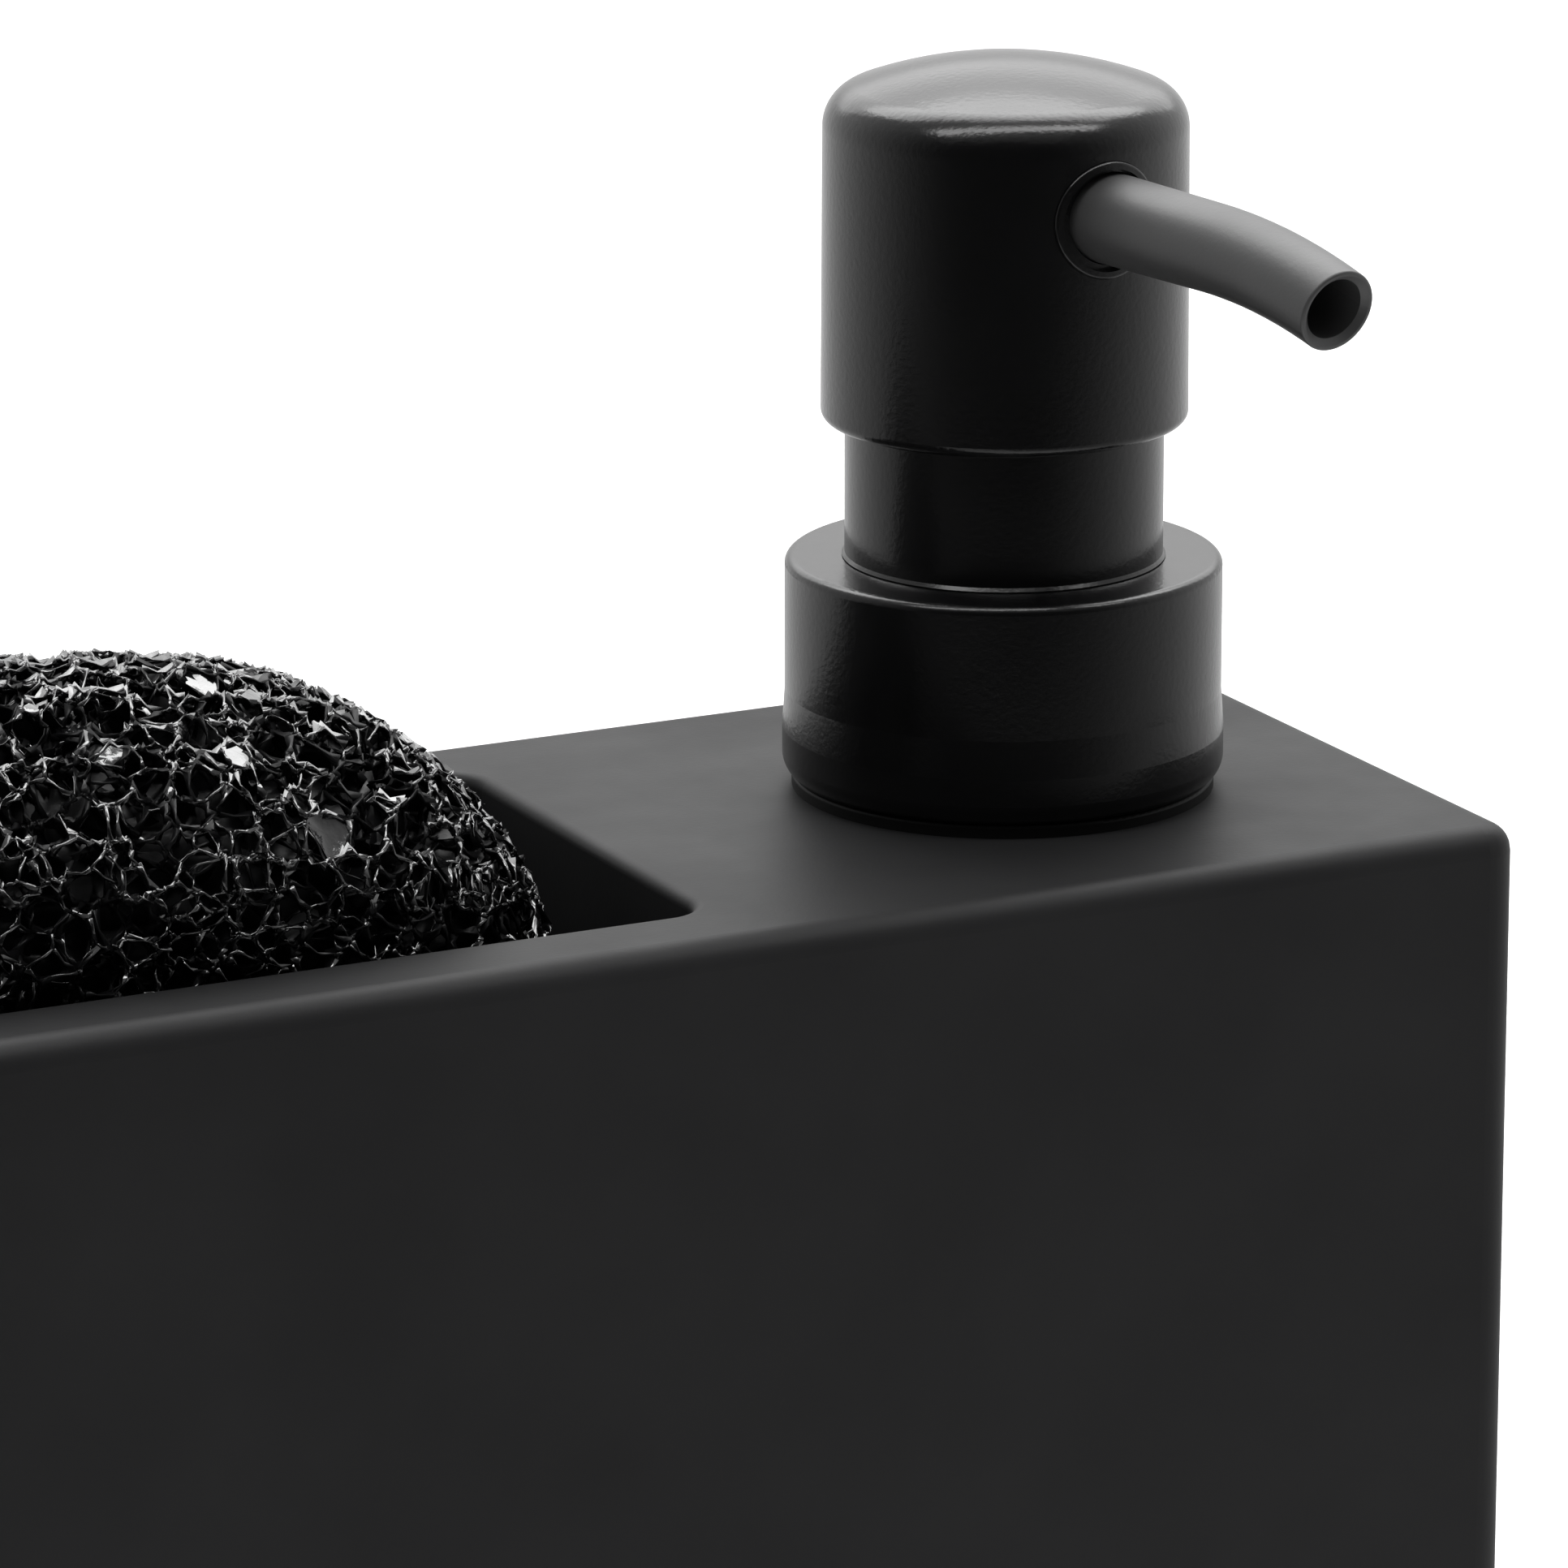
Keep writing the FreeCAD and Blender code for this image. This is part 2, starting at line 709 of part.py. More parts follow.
def make_pump_housing():
    """The pump cylinder: flange on the gasket, bore, ball cage with its cone seat, spigot below."""
    body = on_pump("pump_housing")
    outer = s.housing_bore_radius + s.housing_wall
    shoulder = ledge - s.housing_wall
    socket_radius = s.dip_radius + s.dip_fit_gap
    spigot_radius = socket_radius + s.spigot_wall
    spigot_top = shoulder - (outer - spigot_radius)
    socket_end = seat_level - s.seat_hole_length
    spigot_foot = socket_end - s.spigot_socket_depth
    lip_radius = s.ball_radius - s.ball_lip_hold
    points = [
        (s.housing_bore_radius, housing_top),
        (housing_flange_radius, housing_top),
        (housing_flange_radius, housing_flange_foot),
        (outer, housing_flange_foot),
        (outer, shoulder),
        (spigot_radius, spigot_top),
        (spigot_radius, spigot_foot),
        (socket_radius, spigot_foot),
        (socket_radius, socket_end),
        (s.seat_hole_radius, socket_end),
        (s.seat_hole_radius, seat_level),
        (ball_chamber_radius, ball_cone_top),
        (ball_chamber_radius, ball_lip_foot),
        (lip_radius, ball_lip_foot),
        (lip_radius, ledge),
        (s.housing_bore_radius, ledge),
    ]
    revolve(body, "barrel", points)
    vent = new_sketch(body, "vent_outline", "XZ_Plane")
    add_circle(vent, s.vent_radius, y=-s.vent_drop)
    pocket(body, "vent", vent, outer + s.overrun)
    return body


def make_check_ball():
    """The inlet ball, a hair above its cone seat of 45 degrees."""
    ball = doc.addObject("Part::Sphere", "check_ball")
    ball.Label = "check_ball"
    bind(ball, "Radius", s.ball_radius)
    lift = (s.ball_radius + s.ball_gap) * square_root(as_size(2)) - s.seat_hole_radius
    place(ball, x=pump_x, z=s.deck_height + seat_level + lift)
    return ball


def make_dip_tube():
    """The tube from the spigot's socket to the tank's floor, cut slantwise at its foot."""
    body = on_pump("dip_tube")
    top = seat_level - s.seat_hole_length
    foot = plate_top + s.dip_floor_gap - s.deck_height
    bore = s.dip_radius - s.dip_wall
    points = [(bore, foot), (s.dip_radius, foot), (s.dip_radius, top), (bore, top)]
    revolve(body, "tube", points)
    slant = new_sketch(body, "slant_outline", "XZ_Plane")
    reach = s.dip_radius + s.overrun
    low = foot - s.overrun
    add_outline(slant, [(-reach, low), (reach, low), (reach, low + reach * 2)])
    pocket(body, "slant", slant, reach * 2, both_ways=True)
    return body


def make_stem_guide():
    """The bush in the housing's mouth that guides the stem; its foot stops the piston."""
    body = on_pump("stem_guide")
    bore = s.stem_radius + s.stem_running_gap
    barrel = s.housing_bore_radius - s.guide_barrel_gap
    flange_radius = sleeve_bore_radius - s.guide_flange_gap
    flange_top = housing_top + s.guide_flange_thickness
    points = [
        (bore, guide_foot),
        (barrel, guide_foot),
        (barrel, housing_top),
        (flange_radius, housing_top),
        (flange_radius, flange_top),
        (s.guide_boss_radius, flange_top),
        (s.guide_boss_radius, guide_top),
        (bore, guide_top),
    ]
    revolve(body, "bush", points)
    return body


def make_pump_stem():
    """The hollow stem from the piston to the head, with two cross ports at its foot."""
    body = on_pump("pump_stem", turned=True)
    points = [
        (s.stem_bore_radius, stem_foot),
        (s.stem_radius, stem_foot),
        (s.stem_radius, stem_top),
        (s.stem_bore_radius, stem_top),
    ]
    revolve(body, "stem", points)
    ports = new_sketch(body, "port_outline", "XZ_Plane")
    add_circle(ports, s.stem_port_radius, y=stem_foot + s.rod_pin_length + s.stem_port_rise)
    pocket(body, "ports", ports, (s.stem_radius + s.overrun) * 2, both_ways=True)
    return body


def make_piston():
    """The seal ring with a lip at either end, sliding in the housing's bore."""
    body = on_pump("piston")
    lip = s.housing_bore_radius - s.piston_gap
    waist = s.housing_bore_radius - s.piston_waist_step
    bore = s.stem_radius + s.stem_running_gap
    foot = stem_foot + s.piston_foot_gap
    top = guide_foot - s.piston_top_gap
    low_lip = foot + s.piston_lip_height
    high_lip = top - s.piston_lip_height
    points = [
        (bore, foot),
        (lip, foot),
        (lip, low_lip),
        (waist, low_lip + s.piston_lip_slope),
        (waist, high_lip - s.piston_lip_slope),
        (lip, high_lip),
        (lip, top),
        (bore, top),
    ]
    revolve(body, "seal", points)
    return body


def make_piston_rod():
    """The plug in the stem's foot: its head carries the piston and is the spring's upper seat."""
    body = on_pump("piston_rod", turned=True)
    flange_foot = stem_foot - s.rod_head_thickness
    flange = s.housing_bore_radius - s.rod_head_gap
    pilot = spring_radius - s.spring_wire_radius - s.rod_pilot_gap
    pin = s.stem_bore_radius - s.stem_running_gap
    points = [
        (0, flange_foot - s.rod_pilot_length),
        (pilot, flange_foot - s.rod_pilot_length),
        (pilot, flange_foot),
        (flange, flange_foot),
        (flange, stem_foot),
        (pin, stem_foot),
        (pin, stem_foot + s.rod_pin_length),
        (0, stem_foot + s.rod_pin_length),
    ]
    revolve(body, "plug", points)
    return body


def make_return_spring():
    """The wire spring between the housing's ledge and the rod's head."""
    body = on_pump("return_spring")
    wire = new_sketch(body, "wire_outline", "XZ_Plane")
    low = ledge + s.spring_wire_radius + s.spring_seat_gap
    add_circle(wire, s.spring_wire_radius, x=spring_radius, y=low)
    feature = body.newObject("PartDesign::AdditiveHelix", "coil")
    feature.Profile = wire
    feature.ReferenceAxis = (origin_of(body, "Z_Axis"), [""])
    feature.Mode = 1
    rise = spring_height - (s.spring_wire_radius + s.spring_seat_gap) * 2
    bind(feature, "Pitch", rise / s.spring_turns)
    bind(feature, "Turns", s.spring_turns)
    doc.recompute()
    return body


def make_actuator_core():
    """The head's inner part: stem socket, channel, spout socket and lightening recesses."""
    body = on_pump("actuator_core", turned=True)
    boss = s.stem_radius + s.core_boss_wall
    socket = s.stem_radius + s.core_socket_gap
    channel_top = spout_height + s.stem_bore_radius
    points = [
        (socket, core_boss_foot),
        (boss, core_boss_foot),
        (boss, core_foot),
        (core_radius, core_foot),
        (core_radius, core_top),
        (0, core_top),
        (0, channel_top),
        (s.stem_bore_radius, channel_top),
        (s.stem_bore_radius, socket_top),
        (socket, socket_top),
    ]
    revolve(body, "core", points)
    channel = new_sketch(body, "channel_outline", "XZ_Plane")
    add_circle(channel, s.stem_bore_radius - s.core_channel_step, y=spout_height)
    pocket(body, "channel", channel, s.spout_root, upwards=True)
    spout_socket = new_sketch(body, "spout_socket_outline", "XZ_Plane", s.spout_root)
    add_circle(spout_socket, s.spout_root_radius + s.spout_fit_gap, y=spout_height)
    pocket(body, "spout_socket", spout_socket, core_radius - s.spout_root + s.overrun, upwards=True)
    recess = new_sketch(body, "recess_outline", "XY_Plane", core_foot)
    reach = core_radius - s.core_recess_wall - s.core_recess_radius
    first = as_size(360 * RECESS_FIRST_SHARE)
    add_circle(recess, s.core_recess_radius, x=reach * sine(first), y=-(reach * cosine(first)))
    cut = pocket(body, "recess", recess, core_top - s.core_roof - core_foot, upwards=True)
    pattern = body.newObject("PartDesign::PolarPattern", "recesses")
    pattern.Originals = [cut]
    pattern.Axis = (origin_of(body, "Z_Axis"), [""])
    pattern.Angle = 360 * RECESS_SWEEP_SHARE
    pattern.Occurrences = RECESS_COUNT
    body.Tip = pattern
    doc.recompute()
    return body


def make_head_cap():
    """The push head's shell: a slightly tapered skirt under a shallow dome, open below."""
    body = on_pump("head_cap", turned=True)
    shoulder_level = crown_centre + square_root(
        s.crown_radius * s.crown_radius - head_shoulder_radius * head_shoulder_radius
    )
    points = [
        (head_bore_radius, head_foot),
        (head_foot_radius, head_foot),
        (head_shoulder_radius, shoulder_level),
        (0, head_apex),
        (0, head_apex - s.crown_wall),
        (head_bore_radius, inner_shoulder_level),
    ]
    base = revolve(body, "shell", points, {2: (s.crown_radius, 1), 4: (inner_crown_radius, -1)})
    shoulder = at_circle(head_shoulder_radius, shoulder_level)
    base = round_edges(body, base, "shoulder_edge", s.shoulder_edge, shoulder)
    inner_shoulder = at_circle(head_bore_radius, inner_shoulder_level)
    inner_edge = s.shoulder_edge - s.crown_wall
    base = round_edges(body, base, "inner_shoulder_edge", inner_edge, inner_shoulder)
    foot = at_circle(head_foot_radius, head_foot)
    round_edges(body, base, "head_foot_edge", s.head_foot_edge, foot)
    hole = new_sketch(body, "spout_hole_outline", "XZ_Plane")
    add_circle(hole, ring_radius + s.spout_fit_gap, x=-s.ring_shift, y=spout_height)
    pocket(body, "spout_hole", hole, head_foot_radius + s.overrun, upwards=True)
    return body


def spout_sweep(name, root_radius, tip_radius, spine):
    """A pipe along the spout's line, from its root circle to its tip circle."""
    root = doc.addObject("Part::Circle", f"{name}_root")
    bind(root, "Radius", root_radius)
    across_x = Vector(1, 0, 0)
    place(root, y=-s.spout_root, z=spout_height, turn=as_size(90), axis=across_x)
    tip = doc.addObject("Part::Circle", f"{name}_tip")
    bind(tip, "Radius", tip_radius)
    reach = s.spout_straight_end + s.spout_bend_radius * sine(s.spout_bend)
    drop = s.spout_bend_radius * (as_size(1) - cosine(s.spout_bend))
    turn = as_size(90) + s.spout_bend
    place(tip, y=-reach, z=spout_height - drop, turn=turn, axis=across_x)
    doc.recompute()
    sweep = doc.addObject("Part::Sweep", name)
    sweep.Sections = [root, tip]
    sweep.Spine = (spine, ["Edge1", "Edge2"])
    sweep.Solid = True
    sweep.Frenet = False
    doc.recompute()
    return sweep


def make_spout_line():
    """The spout's axis in the YZ plane: straight out of the head, then bent down."""
    line = doc.addObject("Sketcher::SketchObject", "spout_line")
    line.Placement = FreeCAD.Placement(Vector(0, 0, 0), FreeCAD.Rotation(Vector(1, 1, 1), 120))
    root = Vector(-s.spout_root.value, spout_height.value, 0)
    turn_in = Vector(-s.spout_straight_end.value, spout_height.value, 0)
    radius = s.spout_bend_radius.value
    centre = Vector(turn_in.x, turn_in.y - radius, 0)
    bend = math.radians(s.spout_bend.value)
    line.addGeometry(Part.LineSegment(root, turn_in), False)
    circle = Part.Circle(centre, Vector(0, 0, 1), radius)
    line.addGeometry(Part.ArcOfCircle(circle, math.pi / 2, math.pi / 2 + bend), False)
    line.addConstraint(Sketcher.Constraint("Horizontal", 0))
    line.addConstraint(Sketcher.Constraint("Tangent", 0, END, 1, START))
    along = (ORIGIN, START, 0, START)
    bound_constraint(line, "root_across", "DistanceX", *along, size=-s.spout_root)
    bound_constraint(line, "root_up", "DistanceY", *along, size=spout_height)
    bound_constraint(line, "turn_across", "DistanceX", ORIGIN, START, 0, END, size=-s.spout_straight_end)
    bound_constraint(line, "bend_radius", "Radius", 1, size=s.spout_bend_radius)
    reach = s.spout_straight_end + s.spout_bend_radius * sine(s.spout_bend)
    bound_constraint(line, "tip_across", "DistanceX", ORIGIN, START, 1, END, size=-reach)
    doc.recompute()
    return line


def tip_rim(kind, name, base, radius, size):
    """Rounds or bevels the circle of a radius at the spout's tip."""
    rims = [
        number for number, edge in enumerate(base.Shape.Edges, start=1)
        if edge.BoundBox.YMax < -s.spout_straight_end.value
        and near(edge.Length, 2 * math.pi * radius.value)
    ]
    if len(rims) != 1:
        raise RuntimeError(f"{name} finds {len(rims)} rims")
    feature = doc.addObject(f"Part::{kind}", name)
    feature.Base = base
    feature.Edges = [(rims[0], size.value, size.value)]
    doc.recompute()
    return feature


def make_spout():
    """The tapered, bent tube, its rim rounded outside and bevelled inside at the tip."""
    line = make_spout_line()
    outside = spout_sweep("spout_outside", s.spout_root_radius, s.spout_tip_radius, line)
    tip_bore = s.spout_tip_radius - s.spout_tip_wall
    inside = spout_sweep("spout_inside", s.spout_root_radius - s.spout_root_wall, tip_bore, line)
    tube = boolean("Cut", "spout_tube", outside, inside)
    doc.recompute()
    rounded = tip_rim("Fillet", "spout_rounded", tube, s.spout_tip_radius, s.spout_tip_edge)
    spout = tip_rim("Chamfer", "spout", rounded, tip_bore, s.spout_tip_bevel)
    spout.Label = "spout"
    place(spout, x=pump_x, z=s.deck_height, turn=s.spout_turn)
    return spout


def ring_rim(name, base):
    """Rounds the rim between the ring's side and its outer face."""
    def on_rim(point):
        from_axis = math.hypot(point.x + s.ring_shift.value, point.z - spout_height.value)
        from_pump = math.hypot(point.x, point.y)
        face = head_shoulder_radius.value + s.ring_proud.value
        return near(from_axis, ring_radius.value) and near(from_pump, face)

    doc.recompute()
    rims = []
    for number, edge in enumerate(base.Shape.Edges, start=1):
        first, last = edge.ParameterRange
        if all(on_rim(edge.valueAt(first + (last - first) * share)) for share in (0.1, 0.5, 0.9)):
            rims.append(number)
    if not rims:
        raise RuntimeError(f"{name} finds no rim")
    feature = doc.addObject("Part::Fillet", name)
    feature.Base = base
    feature.Edges = [(number, s.ring_edge.value, s.ring_edge.value) for number in rims]
    doc.recompute()
    return feature


def make_spout_ring():
    """The escutcheon round the spout's root: a thin raised lip round a sunken face."""
    across_x = Vector(1, 0, 0)
    lying = {"z": spout_height, "turn": as_size(90), "axis": across_x}
    shifted = {"x": -s.ring_shift, **lying}
    reach = head_foot_radius + s.ring_proud + s.overrun
    outside = cylinder("ring_outside", ring_radius, reach, **shifted)
    inside = cylinder("ring_inside", s.spout_root_radius + s.spout_fit_gap, reach, **lying)
    sleeve = boolean("Cut", "ring_sleeve", outside, inside)
    shell_outside = cylinder("ring_reach", head_shoulder_radius + s.ring_proud, head_apex)
    shell_inside = cylinder("ring_back", head_bore_radius, head_apex)
    shell = boolean("Cut", "ring_shell", shell_outside, shell_inside)
    blank = ring_rim("ring_rounded", boolean("Common", "ring_blank", sleeve, shell))
    within_lip = cylinder("ring_within_lip", ring_radius - s.ring_lip, reach, **shifted)
    kept = cylinder("ring_kept", head_shoulder_radius - s.ring_recess, head_apex)
    sunken = boolean("Cut", "ring_sunken", within_lip, kept)
    ring = boolean("Cut", "spout_ring", blank, sunken)
    ring.Label = "spout_ring"
    place(ring, x=pump_x, z=s.deck_height, turn=s.spout_turn)
    return ring


def make_scourer():
    """The scouring sponge's outer form: an ellipsoid squeezed between the well's long walls."""
    middle = (well_left + well_right) / 2
    half = (well_right - well_left) / 2 - s.scourer_end_gap
    top = s.deck_height + s.scourer_rise
    ball = doc.addObject("Part::Ellipsoid", "scourer_ball")
    bind(ball, "Radius1", s.scourer_half_height)
    bind(ball, "Radius2", half)
    bind(ball, "Radius3", s.scourer_half_width)
    place(ball, x=middle, z=top - s.scourer_half_height)
    room = doc.addObject("Part::Box", "scourer_room")
    side = well_side - s.scourer_gap
    low = well_floor + s.scourer_gap
    bind(room, "Length", half * 2)
    bind(room, "Width", side * 2)
    bind(room, "Height", top + s.overrun - low)
    place(room, x=middle - half, y=-side, z=low)
    scourer = boolean("Common", "scourer", ball, room)
    scourer.Label = "scourer"
    place(scourer)
    return scourer


PIECES = [
    make_caddy_body(),
    make_base_plate(),
    make_base_pad(),
    make_neck_insert(),
    make_neck_gasket(),
    make_collar(),
    make_neck_sleeve(),
    make_pump_housing(),
    make_check_ball(),
    make_dip_tube(),
    make_stem_guide(),
    make_pump_stem(),
    make_piston(),
    make_piston_rod(),
    make_return_spring(),
    make_actuator_core(),
    make_head_cap(),
    make_spout(),
    make_spout_ring(),
    make_scourer(),
]
doc.recompute()

for thing in doc.Objects:
    if any(word in thing.State for word in ("Invalid", "Error")):
        raise RuntimeError(f"{thing.Name} is {thing.State}")
os.makedirs("parts", exist_ok=True)
for piece in PIECES:
    shape = piece.Shape
    if shape.isNull() or not shape.isValid():
        raise RuntimeError(f"{piece.Label} has no valid shape")
for piece in PIECES:
    shape = piece.Shape
    shape.exportStep(os.path.join("parts", f"{piece.Label}.step"))
    print(f"{piece.Label}: {len(shape.Solids)} solid, {shape.Volume:.1f} mm3")
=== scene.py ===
"""Soap pump caddy: finishes for its hard pieces, and the open-celled scourer in its well."""

import itertools
import math

import bmesh
import bpy
import numpy as np
from mathutils import Matrix, Vector


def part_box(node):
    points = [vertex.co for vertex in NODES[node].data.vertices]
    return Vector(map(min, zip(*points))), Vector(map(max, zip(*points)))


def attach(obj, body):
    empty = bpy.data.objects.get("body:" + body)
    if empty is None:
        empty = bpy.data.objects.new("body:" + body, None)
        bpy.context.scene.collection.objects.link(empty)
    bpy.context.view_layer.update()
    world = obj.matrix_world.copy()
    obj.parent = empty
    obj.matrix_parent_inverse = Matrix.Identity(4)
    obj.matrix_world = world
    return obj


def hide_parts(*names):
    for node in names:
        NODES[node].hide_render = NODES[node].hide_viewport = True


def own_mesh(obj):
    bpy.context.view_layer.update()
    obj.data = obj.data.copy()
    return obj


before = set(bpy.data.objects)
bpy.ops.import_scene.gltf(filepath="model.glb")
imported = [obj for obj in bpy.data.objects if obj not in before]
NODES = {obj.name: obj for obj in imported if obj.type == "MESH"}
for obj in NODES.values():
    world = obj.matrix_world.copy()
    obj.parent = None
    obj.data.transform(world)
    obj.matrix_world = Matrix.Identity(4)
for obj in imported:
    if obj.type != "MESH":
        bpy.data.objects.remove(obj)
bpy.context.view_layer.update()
MM = 0.001
WHITE = (1.0, 1.0, 1.0, 1.0)

# The photograph's camera, fitted to the edges of the block, the collar and the head.
CAMERA_PLACE = Vector((-252.974, -568.660, 270.731)) * MM
CAMERA_AZIMUTH = math.radians(-26.514)
CAMERA_ELEVATION = math.radians(15.7029)
CAMERA_ROLL = math.radians(-0.0718)
CAMERA_CLIP = (0.02, 20.0)
SENSOR_WIDTH = 36.0
PHOTO_WIDTH = 1932.0
PHOTO_FOCAL_PIXELS = 10993.9
# The level directions from the object to the photographer, and to the photograph's right.
FRONT = Vector((math.sin(CAMERA_AZIMUTH), -math.cos(CAMERA_AZIMUTH), 0.0))
RIGHT = Vector((math.cos(CAMERA_AZIMUTH), math.sin(CAMERA_AZIMUTH), 0.0))


def add_object(name, data):
    thing = bpy.data.objects.new(name, data)
    bpy.context.scene.collection.objects.link(thing)
    return thing


def make_camera():
    data = bpy.data.cameras.new("camera")
    data.sensor_fit = "HORIZONTAL"
    data.sensor_width = SENSOR_WIDTH
    data.lens = PHOTO_FOCAL_PIXELS / PHOTO_WIDTH * SENSOR_WIDTH
    data.clip_start, data.clip_end = CAMERA_CLIP
    back = Vector((*(FRONT.xy * math.cos(CAMERA_ELEVATION)), math.sin(CAMERA_ELEVATION)))
    up = back.cross(RIGHT)
    turn = Matrix((RIGHT, up, back)).transposed() @ Matrix.Rotation(CAMERA_ROLL, 3, "Z")
    camera = add_object("camera", data)
    camera.matrix_world = Matrix.Translation(CAMERA_PLACE) @ turn.to_4x4()
    bpy.context.scene.camera = camera


# Studio: a white sweep behind and beside the object, and an unlit room on the photographer's
# side. Distances are in metres, and a strength of 1 is white.
FLOOR_HALF = 3.0
FLOOR_COLOR = (0.93, 0.93, 0.93, 1.0)
FLOOR_ROUGHNESS = 0.9
# The lift of the floor that the camera sees. It fades where something that stands within the
# contact distance leaves less than the open share free: the floor's paint keeps its real shadow,
# and this fade by occlusion adds a painted contact shade.
FLOOR_LIFT = 0.1
FLOOR_CONTACT = 0.012
FLOOR_OPEN = 0.5
# Between these distances that floor turns plain white.
FLOOR_WHITE_FROM = 0.45
FLOOR_WHITE_AT = 1.1
# Gloss shows the sweep as it is seen from this height, and white floor near the object.
FLOOR_FADE_HEIGHT = 0.3
FLOOR_NEAR = 0.08
FLOOR_FAR = 0.32
FLOOR_NEAR_LIGHT = 1.0
WORLD_LIGHT = 0.22
# How much a direction faces the photographer where the sweep is white, and where the room is.
SWEEP_FACING = -0.7
ROOM_FACING = 0.92
ROOM_LIGHT = 0.02


def link_math(tree, operation, first, second):
    node = tree.nodes.new("ShaderNodeMath")
    node.operation = operation
    tree.links.new(first, node.inputs[0])
    tree.links.new(second, node.inputs[1])
    return node.outputs[0]


def vector_math(tree, operation, vector, other=(0.0, 0.0, 0.0)):
    node = tree.nodes.new("ShaderNodeVectorMath")
    node.operation = operation
    node.inputs[1].default_value = other
    tree.links.new(vector, node.inputs[0])
    return node.outputs


def emitter(tree, strength, kind="ShaderNodeEmission"):
    """White light of a strength that is a number or a socket."""
    node = tree.nodes.new(kind)
    node.inputs["Color"].default_value = WHITE
    if isinstance(strength, float):
        node.inputs["Strength"].default_value = strength
    else:
        tree.links.new(strength, node.inputs["Strength"])
    return node.outputs[0]


def mix_shaders(tree, factor, first, second):
    node = tree.nodes.new("ShaderNodeMixShader")
    tree.links.new(factor, node.inputs["Fac"])
    tree.links.new(first, node.inputs[1])
    tree.links.new(second, node.inputs[2])
    return node.outputs[0]


def fade(tree, value, start, end, low, high):
    """A smooth change from low to high as a value goes from start to end."""
    node = tree.nodes.new("ShaderNodeMapRange")
    node.interpolation_type = "SMOOTHSTEP"
    node.inputs["From Min"].default_value = start
    node.inputs["From Max"].default_value = end
    node.inputs["To Min"].default_value = low
    node.inputs["To Max"].default_value = high
    tree.links.new(value, node.inputs["Value"])
    return node.outputs["Result"]


def ray_kinds(tree):
    """Factors for what is seen by the camera or through glass, and for what gloss shows."""
    path = tree.nodes.new("ShaderNodeLightPath").outputs
    seen = link_math(tree, "MAXIMUM", path["Is Camera Ray"], path["Is Transmission Ray"])
    return seen, path["Is Glossy Ray"]


def sweep_light(tree, direction):
    """How bright the studio is in a direction: the room's light ahead, white behind."""
    facing = vector_math(tree, "DOT_PRODUCT", direction, FRONT)["Value"]
    return fade(tree, facing, SWEEP_FACING, ROOM_FACING, 1.0, ROOM_LIGHT)


def make_floor():
    mesh = bpy.data.meshes.new("floor")
    signs = ((-1, -1), (1, -1), (1, 1), (-1, 1))
    corners = [(x * FLOOR_HALF, y * FLOOR_HALF, 0.0) for x, y in signs]
    mesh.from_pydata(corners, [], [(0, 1, 2, 3)])
    material, tree, shader = new_material("floor_paint")
    shader.inputs["Base Color"].default_value = FLOOR_COLOR
    shader.inputs["Roughness"].default_value = FLOOR_ROUGHNESS
    shader.inputs["Specular IOR Level"].default_value = 0.0
    paint = shader.outputs["BSDF"]
    seen, glossy = ray_kinds(tree)
    place = tree.nodes.new("ShaderNodeNewGeometry").outputs["Position"]
    away = vector_math(tree, "LENGTH", place)["Value"]

    # Painted contact shade: ambient occlusion takes the floor's lift away near the object.
    painted_contact_shade = tree.nodes.new("ShaderNodeAmbientOcclusion")
    painted_contact_shade.inputs["Distance"].default_value = FLOOR_CONTACT
    lift = fade(tree, painted_contact_shade.outputs["AO"], 0.0, FLOOR_OPEN, 0.0, FLOOR_LIFT)
    lifted = tree.nodes.new("ShaderNodeAddShader")
    tree.links.new(paint, lifted.inputs[0])
    tree.links.new(emitter(tree, lift), lifted.inputs[1])
    far = fade(tree, away, FLOOR_WHITE_FROM, FLOOR_WHITE_AT, 0.0, 1.0)
    shown = mix_shaders(tree, far, lifted.outputs[0], emitter(tree, 1.0))

    lowered = vector_math(tree, "SUBTRACT", place, (0.0, 0.0, FLOOR_FADE_HEIGHT))["Vector"]
    sweep = sweep_light(tree, vector_math(tree, "NORMALIZE", lowered)["Vector"])
    near = fade(tree, away, FLOOR_NEAR, FLOOR_FAR, FLOOR_NEAR_LIGHT, 0.0)
    mirrored = emitter(tree, link_math(tree, "MAXIMUM", sweep, near))

    surface = mix_shaders(tree, glossy, mix_shaders(tree, seen, paint, shown), mirrored)
    tree.links.new(surface, tree.nodes["Material Output"].inputs["Surface"])
    mesh.materials.append(material)
    floor = add_object("floor", mesh)


def make_world():
    world = bpy.data.worlds.new("studio")
    world.use_nodes = True
    tree = world.node_tree
    tree.nodes.clear()
    kind = "ShaderNodeBackground"
    seen, glossy = ray_kinds(tree)
    direction = tree.nodes.new("ShaderNodeTexCoord").outputs["Generated"]
    mirrored = emitter(tree, sweep_light(tree, direction), kind)
    around = mix_shaders(tree, glossy, emitter(tree, WORLD_LIGHT, kind), mirrored)
    whole = mix_shaders(tree, seen, around, emitter(tree, 1.0, kind))
    output = tree.nodes.new("ShaderNodeOutputWorld")
    tree.links.new(whole, output.inputs["Surface"])
    bpy.context.scene.world = world


LAMP_TARGET = Vector((0.0, 0.0, 0.1))
# Name, elevation in degrees (0 level behind the object, 90 overhead, above that in front of it),
# shift to the right, distance, width, height and brightness.
SOFTBOXES = (
    ("softbox_back", 41.0, 0.0, 1.5, 2.4, 1.33, 1.5),
    ("softbox_high", 60.0, 0.0, 1.4, 1.9, 0.84, 3.7),
    ("softbox_overhead", 104.0, 0.055, 1.3, 2.0, 0.3, 6.5),
    ("softbox_room", 126.0, 0.0, 1.4, 2.0, 0.6, 0.2),
)


